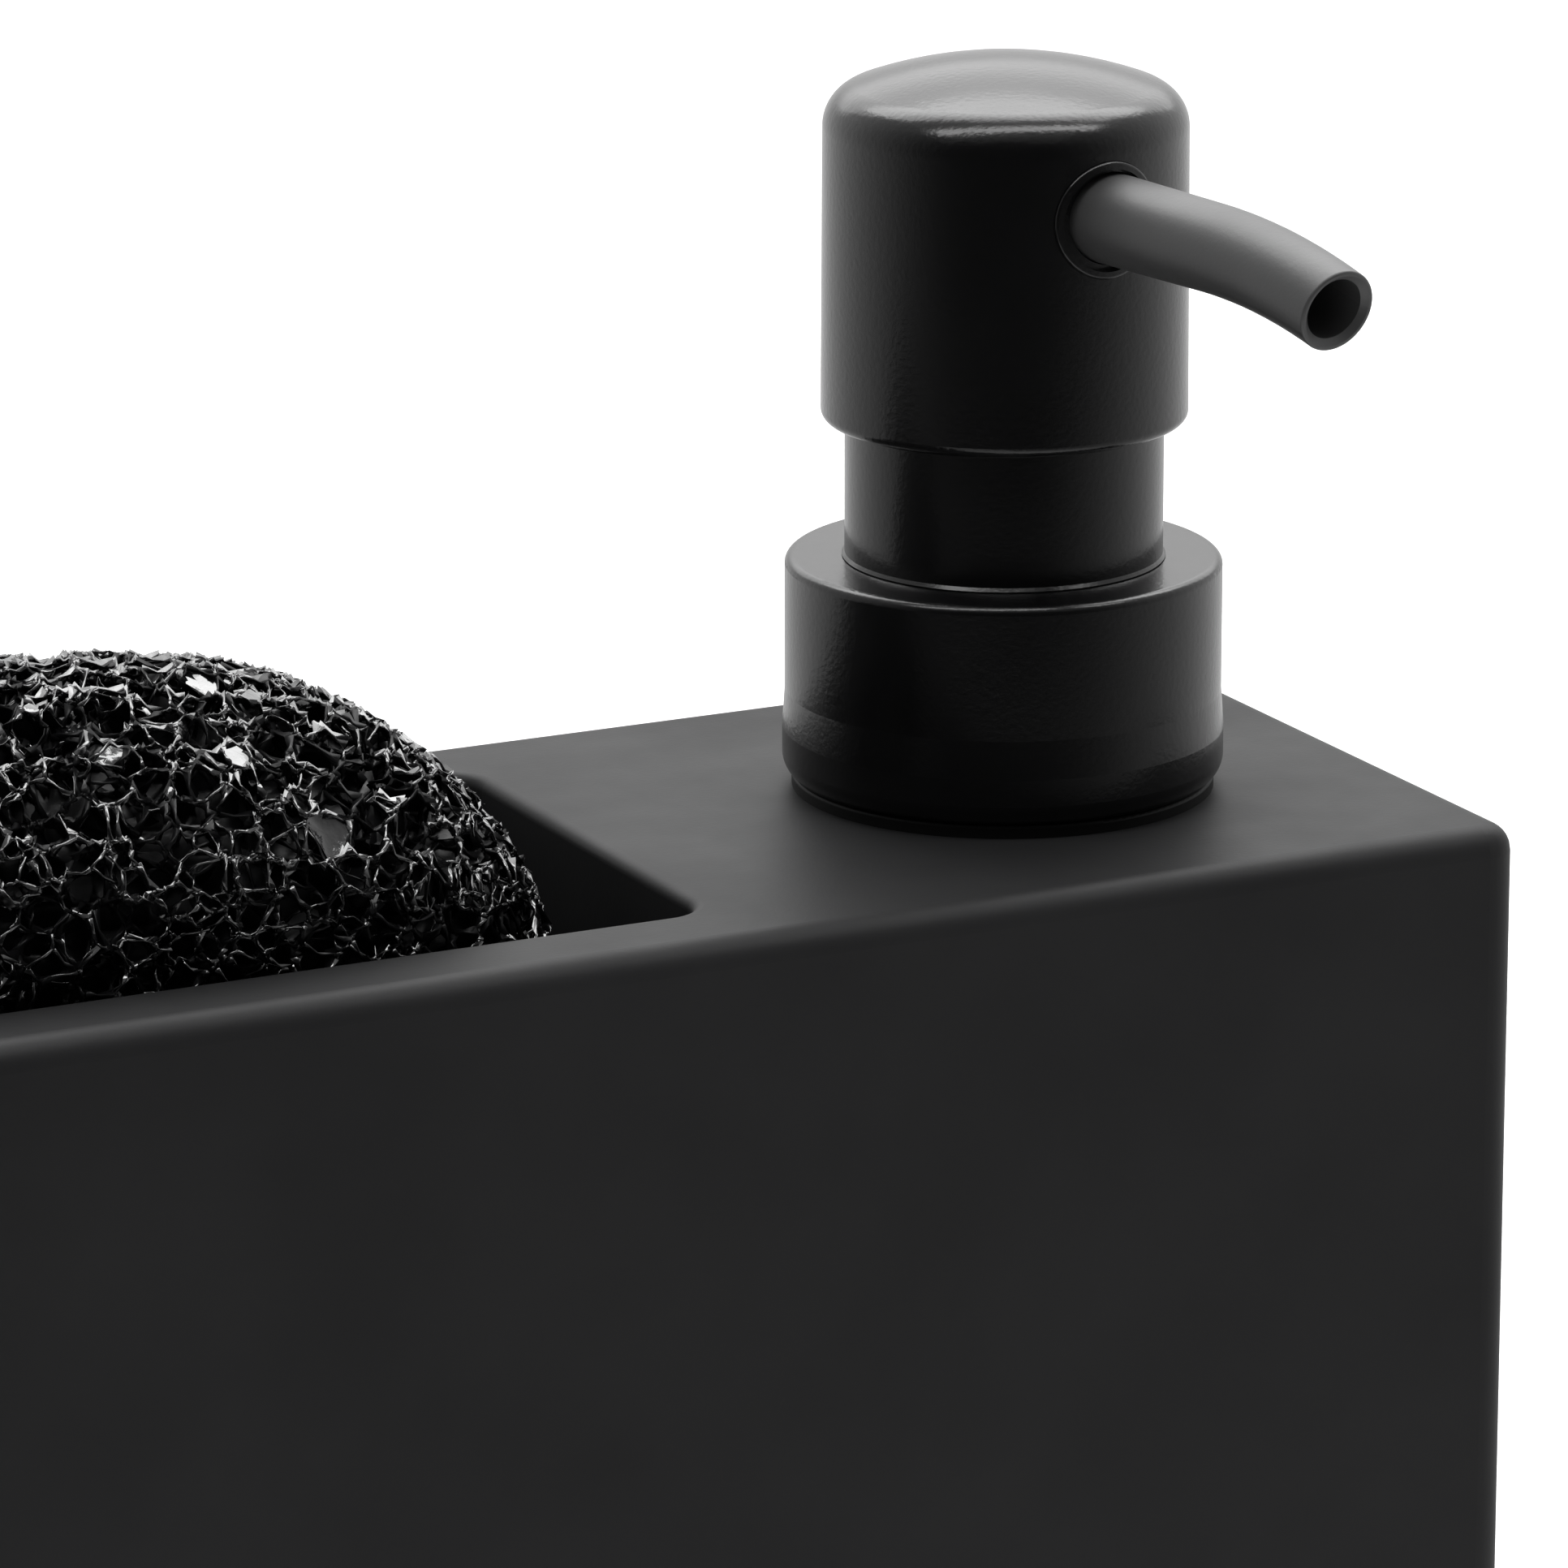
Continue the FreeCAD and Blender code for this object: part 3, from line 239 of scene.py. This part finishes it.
def make_softbox(name, elevation, side, distance, width, height, glow):
    data = bpy.data.lights.new(name, "AREA")
    data.shape = "RECTANGLE"
    data.size = width
    data.size_y = height
    data.energy = glow * math.pi * width * height
    angle = math.radians(elevation)
    upwards = Vector((0.0, 0.0, math.sin(angle)))
    outwards = -FRONT * math.cos(angle) + upwards + RIGHT * side
    outwards.normalize()
    lamp = add_object(name, data)
    lamp.location = LAMP_TARGET + outwards * distance
    lamp.rotation_euler = outwards.to_track_quat("Z", "Y").to_euler()


def make_lights():
    for softbox in SOFTBOXES:
        make_softbox(*softbox)


# Finishes. Noise lies between these two values.
NOISE_LOW = 0.3
NOISE_HIGH = 0.7
# The detail and roughness of noise in broad, middling and fine patterns.
BROAD = (4.0, 0.55)
MIDDLING = (3.0, 0.6)
FINE = (2.0, 0.6)
# Patches that differ in tone and in gloss, in metres, and how strong the grain over them is.
TONE_PATCH = 0.02
GLOSS_PATCH = 0.012
GRAIN_STRENGTH = 0.35


def new_material(name):
    material = bpy.data.materials.new(name)
    material.use_nodes = True
    return material, material.node_tree, material.node_tree.nodes["Principled BSDF"]


def object_space(tree):
    return tree.nodes.new("ShaderNodeTexCoord").outputs["Object"]


def noise(tree, space, size, detail, rough):
    """Noise whose lumps are about the given size in metres."""
    node = tree.nodes.new("ShaderNodeTexNoise")
    node.inputs["Scale"].default_value = 1.0 / size
    node.inputs["Detail"].default_value = detail
    node.inputs["Roughness"].default_value = rough
    tree.links.new(space, node.inputs["Vector"])
    return node.outputs["Fac"]


def spread(tree, factor, low, high):
    """Maps noise to low..high."""
    node = tree.nodes.new("ShaderNodeMapRange")
    node.inputs["From Min"].default_value = NOISE_LOW
    node.inputs["From Max"].default_value = NOISE_HIGH
    node.inputs["To Min"].default_value = low
    node.inputs["To Max"].default_value = high
    tree.links.new(factor, node.inputs["Value"])
    return node.outputs["Result"]


def tint(tree, factor, dark, light):
    """Blends two tones by noise."""
    node = tree.nodes.new("ShaderNodeMix")
    node.data_type = "RGBA"
    node.inputs["A"].default_value = (*dark, 1.0)
    node.inputs["B"].default_value = (*light, 1.0)
    tree.links.new(spread(tree, factor, 0.0, 1.0), node.inputs["Factor"])
    return node.outputs["Result"]


def bump(tree, height, strength, distance):
    node = tree.nodes.new("ShaderNodeBump")
    node.inputs["Strength"].default_value = strength
    node.inputs["Distance"].default_value = distance
    tree.links.new(height, node.inputs["Height"])
    return node.outputs["Normal"]


def moulded(name, dark, light, rough, specular, grain, grain_depth):
    """Moulded or cast plastic: slight tone and gloss changes under a fine grain."""
    material, tree, shader = new_material(name)
    space = object_space(tree)
    broad = noise(tree, space, TONE_PATCH, *BROAD)
    tree.links.new(tint(tree, broad, dark, light), shader.inputs["Base Color"])
    patches = noise(tree, space, GLOSS_PATCH, *MIDDLING)
    tree.links.new(spread(tree, patches, *rough), shader.inputs["Roughness"])
    shader.inputs["Specular IOR Level"].default_value = specular
    fine = noise(tree, space, grain, *FINE)
    tree.links.new(bump(tree, fine, GRAIN_STRENGTH, grain_depth), shader.inputs["Normal"])
    return material


# Name, dark and light tone, least and most roughness, specular level, the grain's size and depth
# in metres, and the pieces.
FINISHES = (
    ("caddy_matte", (0.0140, 0.0140, 0.0145), (0.0176, 0.0176, 0.0181), (0.45, 0.53), 0.135,
     0.0004, 0.00003, ("caddy_body",)),
    ("pump_satin", (0.0024, 0.0024, 0.0026), (0.0036, 0.0036, 0.0038), (0.19, 0.23), 0.5,
     0.00045, 0.00006, ("head_cap", "spout_ring")),
    ("collar_satin", (0.0024, 0.0024, 0.0026), (0.0036, 0.0036, 0.0038), (0.21, 0.26), 0.42,
     0.00045, 0.00005, ("collar", "neck_sleeve")),
    ("spout_satin", (0.036, 0.036, 0.0365), (0.046, 0.046, 0.0465), (0.44, 0.5), 0.65,
     0.0004, 0.00004, ("spout",)),
    ("insert_black", (0.004, 0.004, 0.004), (0.006, 0.006, 0.006), (0.45, 0.55), 0.12,
     0.0004, 0.00001, ("neck_insert",)),
    ("plate_black", (0.012, 0.012, 0.012), (0.018, 0.018, 0.018), (0.5, 0.6), 0.3,
     0.0006, 0.00002, ("base_plate",)),
    ("pad_rubber", (0.018, 0.018, 0.018), (0.03, 0.03, 0.03), (0.8, 0.92), 0.2,
     0.0008, 0.00008, ("base_pad",)),
    ("inner_white", (0.72, 0.72, 0.69), (0.8, 0.8, 0.78), (0.35, 0.45), 0.4,
     0.0006, 0.00001, ("pump_housing", "stem_guide", "pump_stem", "piston_rod", "actuator_core")),
    ("piston_natural", (0.62, 0.65, 0.63), (0.7, 0.73, 0.7), (0.2, 0.3), 0.5,
     0.0006, 0.000008, ("piston",)),
    ("gasket_white", (0.6, 0.6, 0.57), (0.68, 0.68, 0.65), (0.7, 0.8), 0.3,
     0.0005, 0.00003, ("neck_gasket",)),
    ("tube_clear", (0.66, 0.7, 0.69), (0.72, 0.76, 0.74), (0.15, 0.22), 0.5,
     0.001, 0.000005, ("dip_tube",)),
    ("steel", (0.42, 0.42, 0.41), (0.55, 0.55, 0.53), (0.2, 0.32), 0.5,
     0.0004, 0.000005, ("return_spring", "check_ball")),
)
METAL = "steel"


def finish_hard_pieces():
    for *finish, names in FINISHES:
        material = moulded(*finish)
        if finish[0] == METAL:
            material.node_tree.nodes["Principled BSDF"].inputs["Metallic"].default_value = 1.0
        for name in names:
            node = NODES[name]
            if not node.material_slots:
                node.data.materials.append(material)
            for slot in node.material_slots:
                slot.material = material


def make_spring():
    """The spring: a copy of the CAD solid's coils, on the pump unit, in place of the solid."""
    coil = add_object("return_coil", NODES["return_spring"].data.copy())
    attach(coil, "pump_unit")
    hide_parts("return_spring")
    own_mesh(coil)


# Scourer: cells of an irregular packing under the skin of the form that the CAD solid holds.
# Every line where three cells meet is a ligament, thick at the joins of four ligaments. The walls
# between two cells keep a whole film, a torn one, or none.
SCOURER_BOX = [np.array(corner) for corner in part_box("scourer")]
SCOURER_CENTRE = (SCOURER_BOX[0] + SCOURER_BOX[1]) / 2
SCOURER_WALL = (SCOURER_BOX[1] - SCOURER_BOX[0])[1] / 2
# The form that the well's walls squeeze, against the solid's half sizes.
SCOURER_SWELL = np.array((1.05, 1.23, 0.985))
SCOURER_HALVES = (SCOURER_BOX[1] - SCOURER_BOX[0]) / 2 * SCOURER_SWELL
SCOURER_FULLNESS = 2.3
SCOURER_SEED = 11
CELL_PITCH = 3.4 * MM
CELL_JITTER = 0.5 * MM
CELL_MARGIN = 1.5 * CELL_PITCH
CELL_NEIGHBOURS = 17
CELL_MIN_DEPTH = 1.0 * MM
CELL_MAX_DEPTH = 3.9 * MM
CELL_LARGEST_RADIUS = 1.0 * CELL_PITCH
# How many cells are compared at a time, and in how many lots their joins are found.
NEAREST_LOT = 400
JOIN_LOTS = 12
# Below these, a length, a vector, a volume and a share of a gap count as none.
NO_LENGTH = 1e-6
NO_VECTOR = 1e-9
NO_VOLUME = 1e-14
SAME_GAP = 1e-6
WAVE_SPREAD = (0.7, 1.6)
SKIN_DENT = 0.4 * MM
SKIN_DENT_WAVE = 16 * MM
JOIN_RADIUS = 0.5 * MM
JOIN_SPREAD = (0.7, 1.25)
LIGAMENT_RADIUS = 0.155 * MM
LIGAMENT_SPREAD = (0.7, 1.4)
LIGAMENT_SAG = 0.1 * MM
LIGAMENT_WAIST = 2.2
LIGAMENT_STOUTEST = 0.45
LINE_MAX_DEPTH = 3.2 * MM
BAR_STEPS = 2
# The fewest sides of a wall that holds a film.
FEWEST_SIDES = 4
FILM_HALF = 0.05 * MM
FILM_WOBBLE = 0.12 * MM
FILM_WOBBLE_WAVE = 2.5 * MM
FILM_BULGE = 0.5 * MM
# The share of walls with a whole film: at the skin, where it falls from the crown down, against
# the core, and between. Then the share with a torn film at the skin, and elsewhere.
SKIN_WHOLE = 0.25
CROWN_POWER = 6
CORE_WHOLE = 0.9
INNER_WHOLE = 0.7
SKIN_TORN = 0.3
INNER_TORN = 0.2
# How much of the way from a torn film's centre its rim lies, how much less at most, and the power
# that makes that seldom.
TEAR_RIM = 0.94
TEAR_AT_JOIN = (0.45, 3)
TEAR_AT_LINE = (0.2, 4)
CORE_DEPTH = 4.0 * MM
CORE_DENT = 0.7 * MM
CORE_DENT_WAVE = 3.2 * MM
CORE_WAVES = 14
CORE_DETAIL = 6
# Well outside the scourer, so that the core's points are drawn in to its skin.
CORE_START = 0.1


class SmoothNoise:
    """A smooth random field in space: a few waves of seeded directions and phases."""

    def __init__(self, seed, wavelength, waves=9):
        chance = np.random.default_rng(seed)
        directions = chance.normal(size=(waves, 3))
        directions /= np.linalg.norm(directions, axis=1)[:, None]
        lengths = wavelength * chance.uniform(*WAVE_SPREAD, waves)
        self.turns = directions * (2 * math.pi / lengths)[:, None]
        self.phases = chance.uniform(0, 2 * math.pi, waves)
        self.waves = waves

    def __call__(self, points):
        return np.sin(points @ self.turns.T + self.phases).sum(axis=1) / math.sqrt(self.waves)


def scourer_reach(points):
    """Points from the scourer's centre, and how far from it they and the skin past them are."""
    local = points - SCOURER_CENTRE
    reach = np.maximum(np.linalg.norm(local, axis=1), NO_LENGTH)
    stretch = (np.abs(local / SCOURER_HALVES) ** SCOURER_FULLNESS).sum(axis=1)
    return local, reach, reach / np.maximum(stretch ** (1 / SCOURER_FULLNESS), NO_LENGTH)


def scourer_depth(points):
    """How deep points lie under the scourer's skin and side walls, negative outside."""
    local, reach, skin = scourer_reach(points)
    return np.minimum(skin - reach, SCOURER_WALL - np.abs(local[:, 1]))


def under_skin(points, inset):
    """Moves points that lie less than an inset under the surface down to it."""
    local, reach, skin = scourer_reach(points)
    local = local * np.minimum((skin - inset) / reach, 1.0)[:, None]
    wall = SCOURER_WALL - inset
    local[:, 1] = np.clip(local[:, 1], -wall, wall)
    return local + SCOURER_CENTRE


def cell_seeds():
    """A body-centred lattice, jittered, near the scourer's skin."""
    low, high = SCOURER_BOX[0] - CELL_MARGIN, SCOURER_BOX[1] + CELL_MARGIN
    axes = [np.arange(low[i], high[i], CELL_PITCH) for i in range(3)]
    corners = np.stack(np.meshgrid(*axes, indexing="ij"), axis=-1).reshape(-1, 3)
    points = np.concatenate((corners, corners + CELL_PITCH / 2))
    points += np.random.default_rng(SCOURER_SEED).normal(0.0, CELL_JITTER, points.shape)
    depth = scourer_depth(points)
    return points[(depth > -CELL_PITCH) & (depth < CELL_MAX_DEPTH + CELL_PITCH)]


def nearest(points, rows, count):
    """The nearest other points of each of the given rows."""
    squares = (points ** 2).sum(axis=1)
    found = []
    for chunk in np.array_split(rows, len(rows) // NEAREST_LOT + 1):
        gaps = squares[chunk][:, None] + squares[None] - 2 * points[chunk] @ points.T
        gaps[np.arange(len(chunk)), chunk] = np.inf
        found.append(np.argpartition(gaps, count, axis=1)[:, :count])
    return np.concatenate(found)


def cell_joins(points, rows):
    """The points where four cells meet, each with the indices of its cells."""
    near = nearest(points, rows, CELL_NEIGHBOURS)
    triples = np.array(list(itertools.combinations(range(CELL_NEIGHBOURS), 3)))
    places, cells = [], []
    for chunk, around in zip(np.array_split(rows, JOIN_LOTS), np.array_split(near, JOIN_LOTS)):
        arms = points[around] - points[chunk][:, None]
        a, b, c = (arms[:, triples[:, i]] for i in range(3))
        bc, ca, ab = np.cross(b, c), np.cross(c, a), np.cross(a, b)
        squares = [(arm ** 2).sum(axis=2)[..., None] for arm in (a, b, c)]
        volume = (a * bc).sum(axis=2)[..., None]
        volume[np.abs(volume) < NO_VOLUME] = np.inf
        spots = (squares[0] * bc + squares[1] * ca + squares[2] * ab) / (2 * volume)
        radii = (spots ** 2).sum(axis=2)
        which, triple = np.nonzero((radii < CELL_LARGEST_RADIUS ** 2) & (radii > 0))
        spots, radii = spots[which, triple], radii[which, triple]
        gaps = ((spots[:, None] - arms[which]) ** 2).sum(axis=2)
        real = (gaps > radii[:, None] * (1 - SAME_GAP)).all(axis=1)
        which, triple, spots = which[real], triple[real], spots[real]
        places.append(points[chunk][which] + spots)
        others = np.take_along_axis(around[which], triples[triple], axis=1)
        cells.append(np.column_stack((chunk[which], others)))
    places, cells = np.concatenate(places), np.sort(np.concatenate(cells), axis=1)
    cells, first = np.unique(cells, axis=0, return_index=True)
    return places[first], cells


def shared_lines(cells, kept):
    """Pairs of joins that share three cells, at least one of them kept, with those cells."""
    triples = np.concatenate([np.delete(cells, i, axis=1) for i in range(4)])
    joins = np.tile(np.arange(len(cells)), 4)
    order = np.lexsort(triples.T[::-1])
    triples, joins = triples[order], joins[order]
    same = (triples[1:] == triples[:-1]).all(axis=1) & kept[triples[1:]].any(axis=1)
    return np.stack((joins[:-1][same], joins[1:][same]), axis=1), triples[1:][same]


def cell_walls(joins, lines, middles):
    """The pairs of cells that share a wall, the wall and the line of each side of the walls, and
    which walls close all round."""
    pairs = np.concatenate((middles[:, [0, 1]], middles[:, [0, 2]], middles[:, [1, 2]]))
    side_lines = np.tile(np.arange(len(lines)), 3)
    pairs, walls = np.unique(pairs, axis=0, return_inverse=True)
    walls = walls.reshape(-1)
    corners = np.unique((walls[:, None] * len(joins) + lines[side_lines]).reshape(-1))
    sides = np.bincount(walls, minlength=len(pairs))
    corner_counts = np.bincount(corners // len(joins), minlength=len(pairs))
    return pairs, walls, side_lines, (sides == corner_counts) & (sides >= FEWEST_SIDES)


class Foam:
    """The scourer's cells, the joins, ligaments and walls between them, and their chance sizes."""

    def __init__(self):
        chance = np.random.default_rng(SCOURER_SEED + 1)
        dents = SmoothNoise(SCOURER_SEED + 2, SKIN_DENT_WAVE)
        self.wobble = SmoothNoise(SCOURER_SEED + 4, FILM_WOBBLE_WAVE)
        self.seeds = cell_seeds()
        depth = scourer_depth(self.seeds)
        kept = (depth > CELL_MIN_DEPTH) & (depth < CELL_MAX_DEPTH)
        joins, cells = cell_joins(self.seeds, np.nonzero(kept)[0])
        self.lines, self.middles = shared_lines(cells, kept)
        self.join_radii = JOIN_RADIUS * chance.uniform(*JOIN_SPREAD, len(joins))
        inset = self.join_radii + SKIN_DENT * (1 + dents(joins) / 2)
        self.at_skin = scourer_depth(joins) < inset
        self.joins = under_skin(joins, inset)
        self.radii = LIGAMENT_RADIUS * chance.uniform(*LIGAMENT_SPREAD, len(self.lines))
        self.sag = chance.normal(0.0, LIGAMENT_SAG, (len(self.lines), 3))
        found = cell_walls(self.joins, self.lines, self.middles)
        self.pairs, self.walls, self.side_lines, closed = found
        self.choose_films(chance.random(len(self.pairs)), depth, closed)
        most, power = TEAR_AT_JOIN
        self.join_tears = TEAR_RIM - most * chance.random(len(joins)) ** power
        most, power = TEAR_AT_LINE
        self.line_tears = TEAR_RIM - most * chance.random(len(self.lines)) ** power

    def choose_films(self, draw, depth, closed):
        """Which walls are the skin's, and which have a whole film and which a torn one."""
        middle = (self.seeds[self.pairs[:, 0]] + self.seeds[self.pairs[:, 1]]) / 2
        height = (middle[:, 2] - SCOURER_CENTRE[2]) / SCOURER_HALVES[2]
        crown = np.clip(height, 0.0, 1.0) ** CROWN_POWER
        deep = (depth[self.pairs] > CELL_MAX_DEPTH).any(axis=1)
        self.skin = (depth[self.pairs] < CELL_MIN_DEPTH).any(axis=1)
        inner = np.where(deep, CORE_WHOLE, INNER_WHOLE)
        whole = np.where(self.skin, SKIN_WHOLE * crown, inner)
        torn = np.where(self.skin, SKIN_TORN, INNER_TORN)
        self.whole = closed & (draw < whole)
        self.torn = closed & ~self.whole & (draw < whole + torn)


def unit(vectors):
    return vectors / np.maximum(np.linalg.norm(vectors, axis=-1, keepdims=True), NO_VECTOR)


def ligaments(foam, chosen):
    """Closed three-sided bars along lines, each side facing one of the three cells round it."""
    lines, radii, sag = foam.lines[chosen], foam.radii[chosen], foam.sag[chosen]
    start, end = foam.joins[lines[:, 0]], foam.joins[lines[:, 1]]
    length = np.linalg.norm(end - start, axis=1)
    along = unit(end - start)
    facing = foam.seeds[foam.middles[chosen]] - ((start + end) / 2)[:, None]
    facing -= (facing * along[:, None]).sum(axis=2)[..., None] * along[:, None]
    facing = unit(facing)
    turn = (np.cross(facing[:, 0], facing[:, 1]) * along).sum(axis=1) < 0
    facing[turn, 1], facing[turn, 2] = facing[turn, 2].copy(), facing[turn, 1].copy()
    rings = []
    for step in range(BAR_STEPS + 1):
        share = step / BAR_STEPS
        waist = (2 * share - 1) ** 2
        ends = foam.join_radii[lines[:, 0]] * (1 - share) + foam.join_radii[lines[:, 1]] * share
        radius = radii + (ends - radii) * waist ** LIGAMENT_WAIST
        radius = np.minimum(radius, length * LIGAMENT_STOUTEST)
        spot = start + (end - start) * share + sag * (1 - waist)
        rings.append(spot[:, None] - facing * radius[:, None, None])
    points = np.stack(rings, axis=1).reshape(-1, 3)
    sides = []
    for step, side in itertools.product(range(BAR_STEPS), range(3)):
        here, after = step * 3 + side, step * 3 + (side + 1) % 3
        sides.append((here, after, after + 3, here + 3))
    last = BAR_STEPS * 3
    caps = ((2, 1, 0), (last, last + 1, last + 2))
    first = np.arange(len(lines))[:, None, None] * (3 * len(rings))
    return points, (first + np.array(sides)).reshape(-1, 4), (first + np.array(caps)).reshape(-1, 3)


def film_sides(foam, wanted):
    """The sides of the wanted walls: the joins at their ends, all one way round, their middles,
    lines and walls, and then the walls' centres and the directions that the walls face."""
    used = wanted[foam.walls]
    side_lines = foam.side_lines[used]
    films, walls = np.unique(foam.walls[used], return_inverse=True)
    first, last = foam.lines[side_lines].T
    start, end = foam.joins[first], foam.joins[last]
    centres = np.zeros((len(films), 3))
    np.add.at(centres, walls, (start + end) / 2)
    centres /= np.bincount(walls)[:, None]
    facing = unit(foam.seeds[foam.pairs[films, 1]] - foam.seeds[foam.pairs[films, 0]])
    round_centre = np.cross(start - centres[walls], end - centres[walls])
    turn = (round_centre * facing[walls]).sum(axis=1) < 0
    first, last = np.where(turn, last, first), np.where(turn, first, last)
    middle = (start + end) / 2 + foam.sag[side_lines]
    return first, last, middle, side_lines, walls, centres, facing


def whole_films(foam, wanted):
    """Films that fill their walls, each two fans that part a little at a bulging centre."""
    first, last, middle, _, walls, centres, facing = film_sides(foam, wanted)
    centres += facing * (foam.wobble(centres) * FILM_BULGE)[:, None]
    half = facing * FILM_HALF
    own = walls * len(foam.joins)
    corners, places = np.unique(np.concatenate((own + first, own + last)), return_inverse=True)
    edge = np.concatenate((foam.joins[corners % len(foam.joins)], middle))
    points = np.concatenate((edge, centres + half, edge, centres - half))
    first_at, last_at = places[:len(walls)], places[len(walls):]
    middle_at = len(corners) + np.arange(len(walls))
    centre_at = len(edge) + walls
    fans = np.concatenate((
        np.stack((first_at, middle_at, centre_at), axis=1),
        np.stack((middle_at, last_at, centre_at), axis=1)))
    return points, np.concatenate((fans, fans[:, ::-1] + len(edge) + len(centres)))


def torn_films(foam, wanted):
    """Films with a ragged hole, each from its ligaments to the rim of its hole."""
    first, last, middle, side_lines, walls, centres, facing = film_sides(foam, wanted)
    centre, facing = centres[walls], facing[walls]
    edge = [foam.joins[first], middle, foam.joins[last]]
    reach = [foam.join_tears[first], foam.line_tears[side_lines], foam.join_tears[last]]
    rim = [centre + (point - centre) * share[:, None] for point, share in zip(edge, reach)]
    rim = [point + facing * (foam.wobble(point) * FILM_WOBBLE)[:, None] for point in rim]
    half = facing * FILM_HALF
    rows = edge + [point + half for point in rim] + [point - half for point in rim]
    quads = np.array((
        (0, 1, 4, 3), (1, 2, 5, 4), (1, 0, 6, 7), (2, 1, 7, 8), (3, 4, 7, 6), (4, 5, 8, 7)))
    starts = np.arange(len(walls))[:, None, None] * len(rows)
    return np.stack(rows, axis=1).reshape(-1, 3), (starts + quads).reshape(-1, 4)


def mesh_piece(name, material, points, *faces):
    mesh = bpy.data.meshes.new(name)
    rows = itertools.chain.from_iterable(part.tolist() for part in faces)
    mesh.from_pydata(points.tolist(), [], list(rows))
    mesh.polygons.foreach_set("use_smooth", [True] * len(mesh.polygons))
    mesh.materials.append(material)
    mesh.update()
    piece = add_object(name, mesh)
    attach(piece, "scourer_piece")
    return piece


def make_core(material):
    """The dark mass of deeper cells, dented cell by cell: a closed surface that stands in for those
    cells and, as painted shade, for their darkness.
    """
    form = bmesh.new()
    bmesh.ops.create_icosphere(form, subdivisions=CORE_DETAIL, radius=1.0)
    outwards = np.array([vertex.co[:] for vertex in form.verts])
    faces = np.array([[vertex.index for vertex in face.verts] for face in form.faces])
    form.free()
    dents = SmoothNoise(SCOURER_SEED + 3, CORE_DENT_WAVE, CORE_WAVES)
    surface = under_skin(SCOURER_CENTRE + outwards * CORE_START, 0.0)
    points = under_skin(surface, CORE_DEPTH + CORE_DENT * dents(surface))
    mesh_piece("scourer_core", material, points, faces)


# The ligaments' tones, refraction, the size in metres of what differs in tone, in gloss and in
# height, and how strong and deep the last is.
LIGAMENT_DARK = (0.002, 0.002, 0.0022)
LIGAMENT_LIGHT = (0.006, 0.006, 0.0064)
LIGAMENT_IOR = 1.62
LIGAMENT_PATCH = 0.004
LIGAMENT_STREAK = 0.0012
LIGAMENT_GRAIN = 0.0006
LIGAMENT_BUMP = (0.5, 0.00005)
# Least and most roughness, and the specular level: the skin's glossy finish, and a dimmed copy of
# it, a painted shade of the foam's depths, for the deeper ligaments, the inner films and the core.
GLOSSY = ((0.03, 0.16), 1.0)
PAINTED_DEPTH_SHADE = ((0.28, 0.4), 0.14)


def ligament_material(name, rough, specular):
    material, tree, shader = new_material(name)
    space = object_space(tree)
    broad = noise(tree, space, LIGAMENT_PATCH, *MIDDLING)
    tone = tint(tree, broad, LIGAMENT_DARK, LIGAMENT_LIGHT)
    tree.links.new(tone, shader.inputs["Base Color"])
    streak = noise(tree, space, LIGAMENT_STREAK, *FINE)
    tree.links.new(spread(tree, streak, *rough), shader.inputs["Roughness"])
    shader.inputs["Specular IOR Level"].default_value = specular
    shader.inputs["IOR"].default_value = LIGAMENT_IOR
    grain = noise(tree, space, LIGAMENT_GRAIN, *FINE)
    tree.links.new(bump(tree, grain, *LIGAMENT_BUMP), shader.inputs["Normal"])
    return material


def make_scourer():
    glossy = ligament_material("scourer_glossy", *GLOSSY)
    # Painted shade: the same tones, less specular and rougher, so that what lies deeper looks
    # dimmer.
    painted_shade = ligament_material("scourer_painted_depth_shade", *PAINTED_DEPTH_SHADE)
    foam = Foam()
    outer = foam.at_skin[foam.lines].any(axis=1)
    line_depth = scourer_depth(foam.joins)[foam.lines].min(axis=1)
    inner = ~outer & (line_depth < LINE_MAX_DEPTH)
    front = foam.joins[foam.lines].mean(axis=1)[:, 1] < SCOURER_CENTRE[1]
    pieces = [
        mesh_piece(name, material, *ligaments(foam, chosen))
        for name, material, chosen in (
            ("scourer_skin_front", glossy, outer & front),
            ("scourer_skin_back", glossy, outer & ~front),
            ("scourer_depths_front", painted_shade, inner & front),
            ("scourer_depths_back", painted_shade, inner & ~front),
        )
    ]
    for name, material, chosen in (
        ("scourer_skin_films", glossy, foam.skin), ("scourer_films", painted_shade, ~foam.skin),
    ):
        mesh_piece(name, material, *whole_films(foam, foam.whole & chosen))
        mesh_piece(name + "_torn", material, *torn_films(foam, foam.torn & chosen))
    # The core wears the painted-shade copy of the finish.
    make_core(painted_shade)
    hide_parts("scourer")


make_camera()
make_floor()
make_world()
make_lights()
finish_hard_pieces()
make_spring()
make_scourer()
bpy.context.scene.view_settings.view_transform = "Standard"
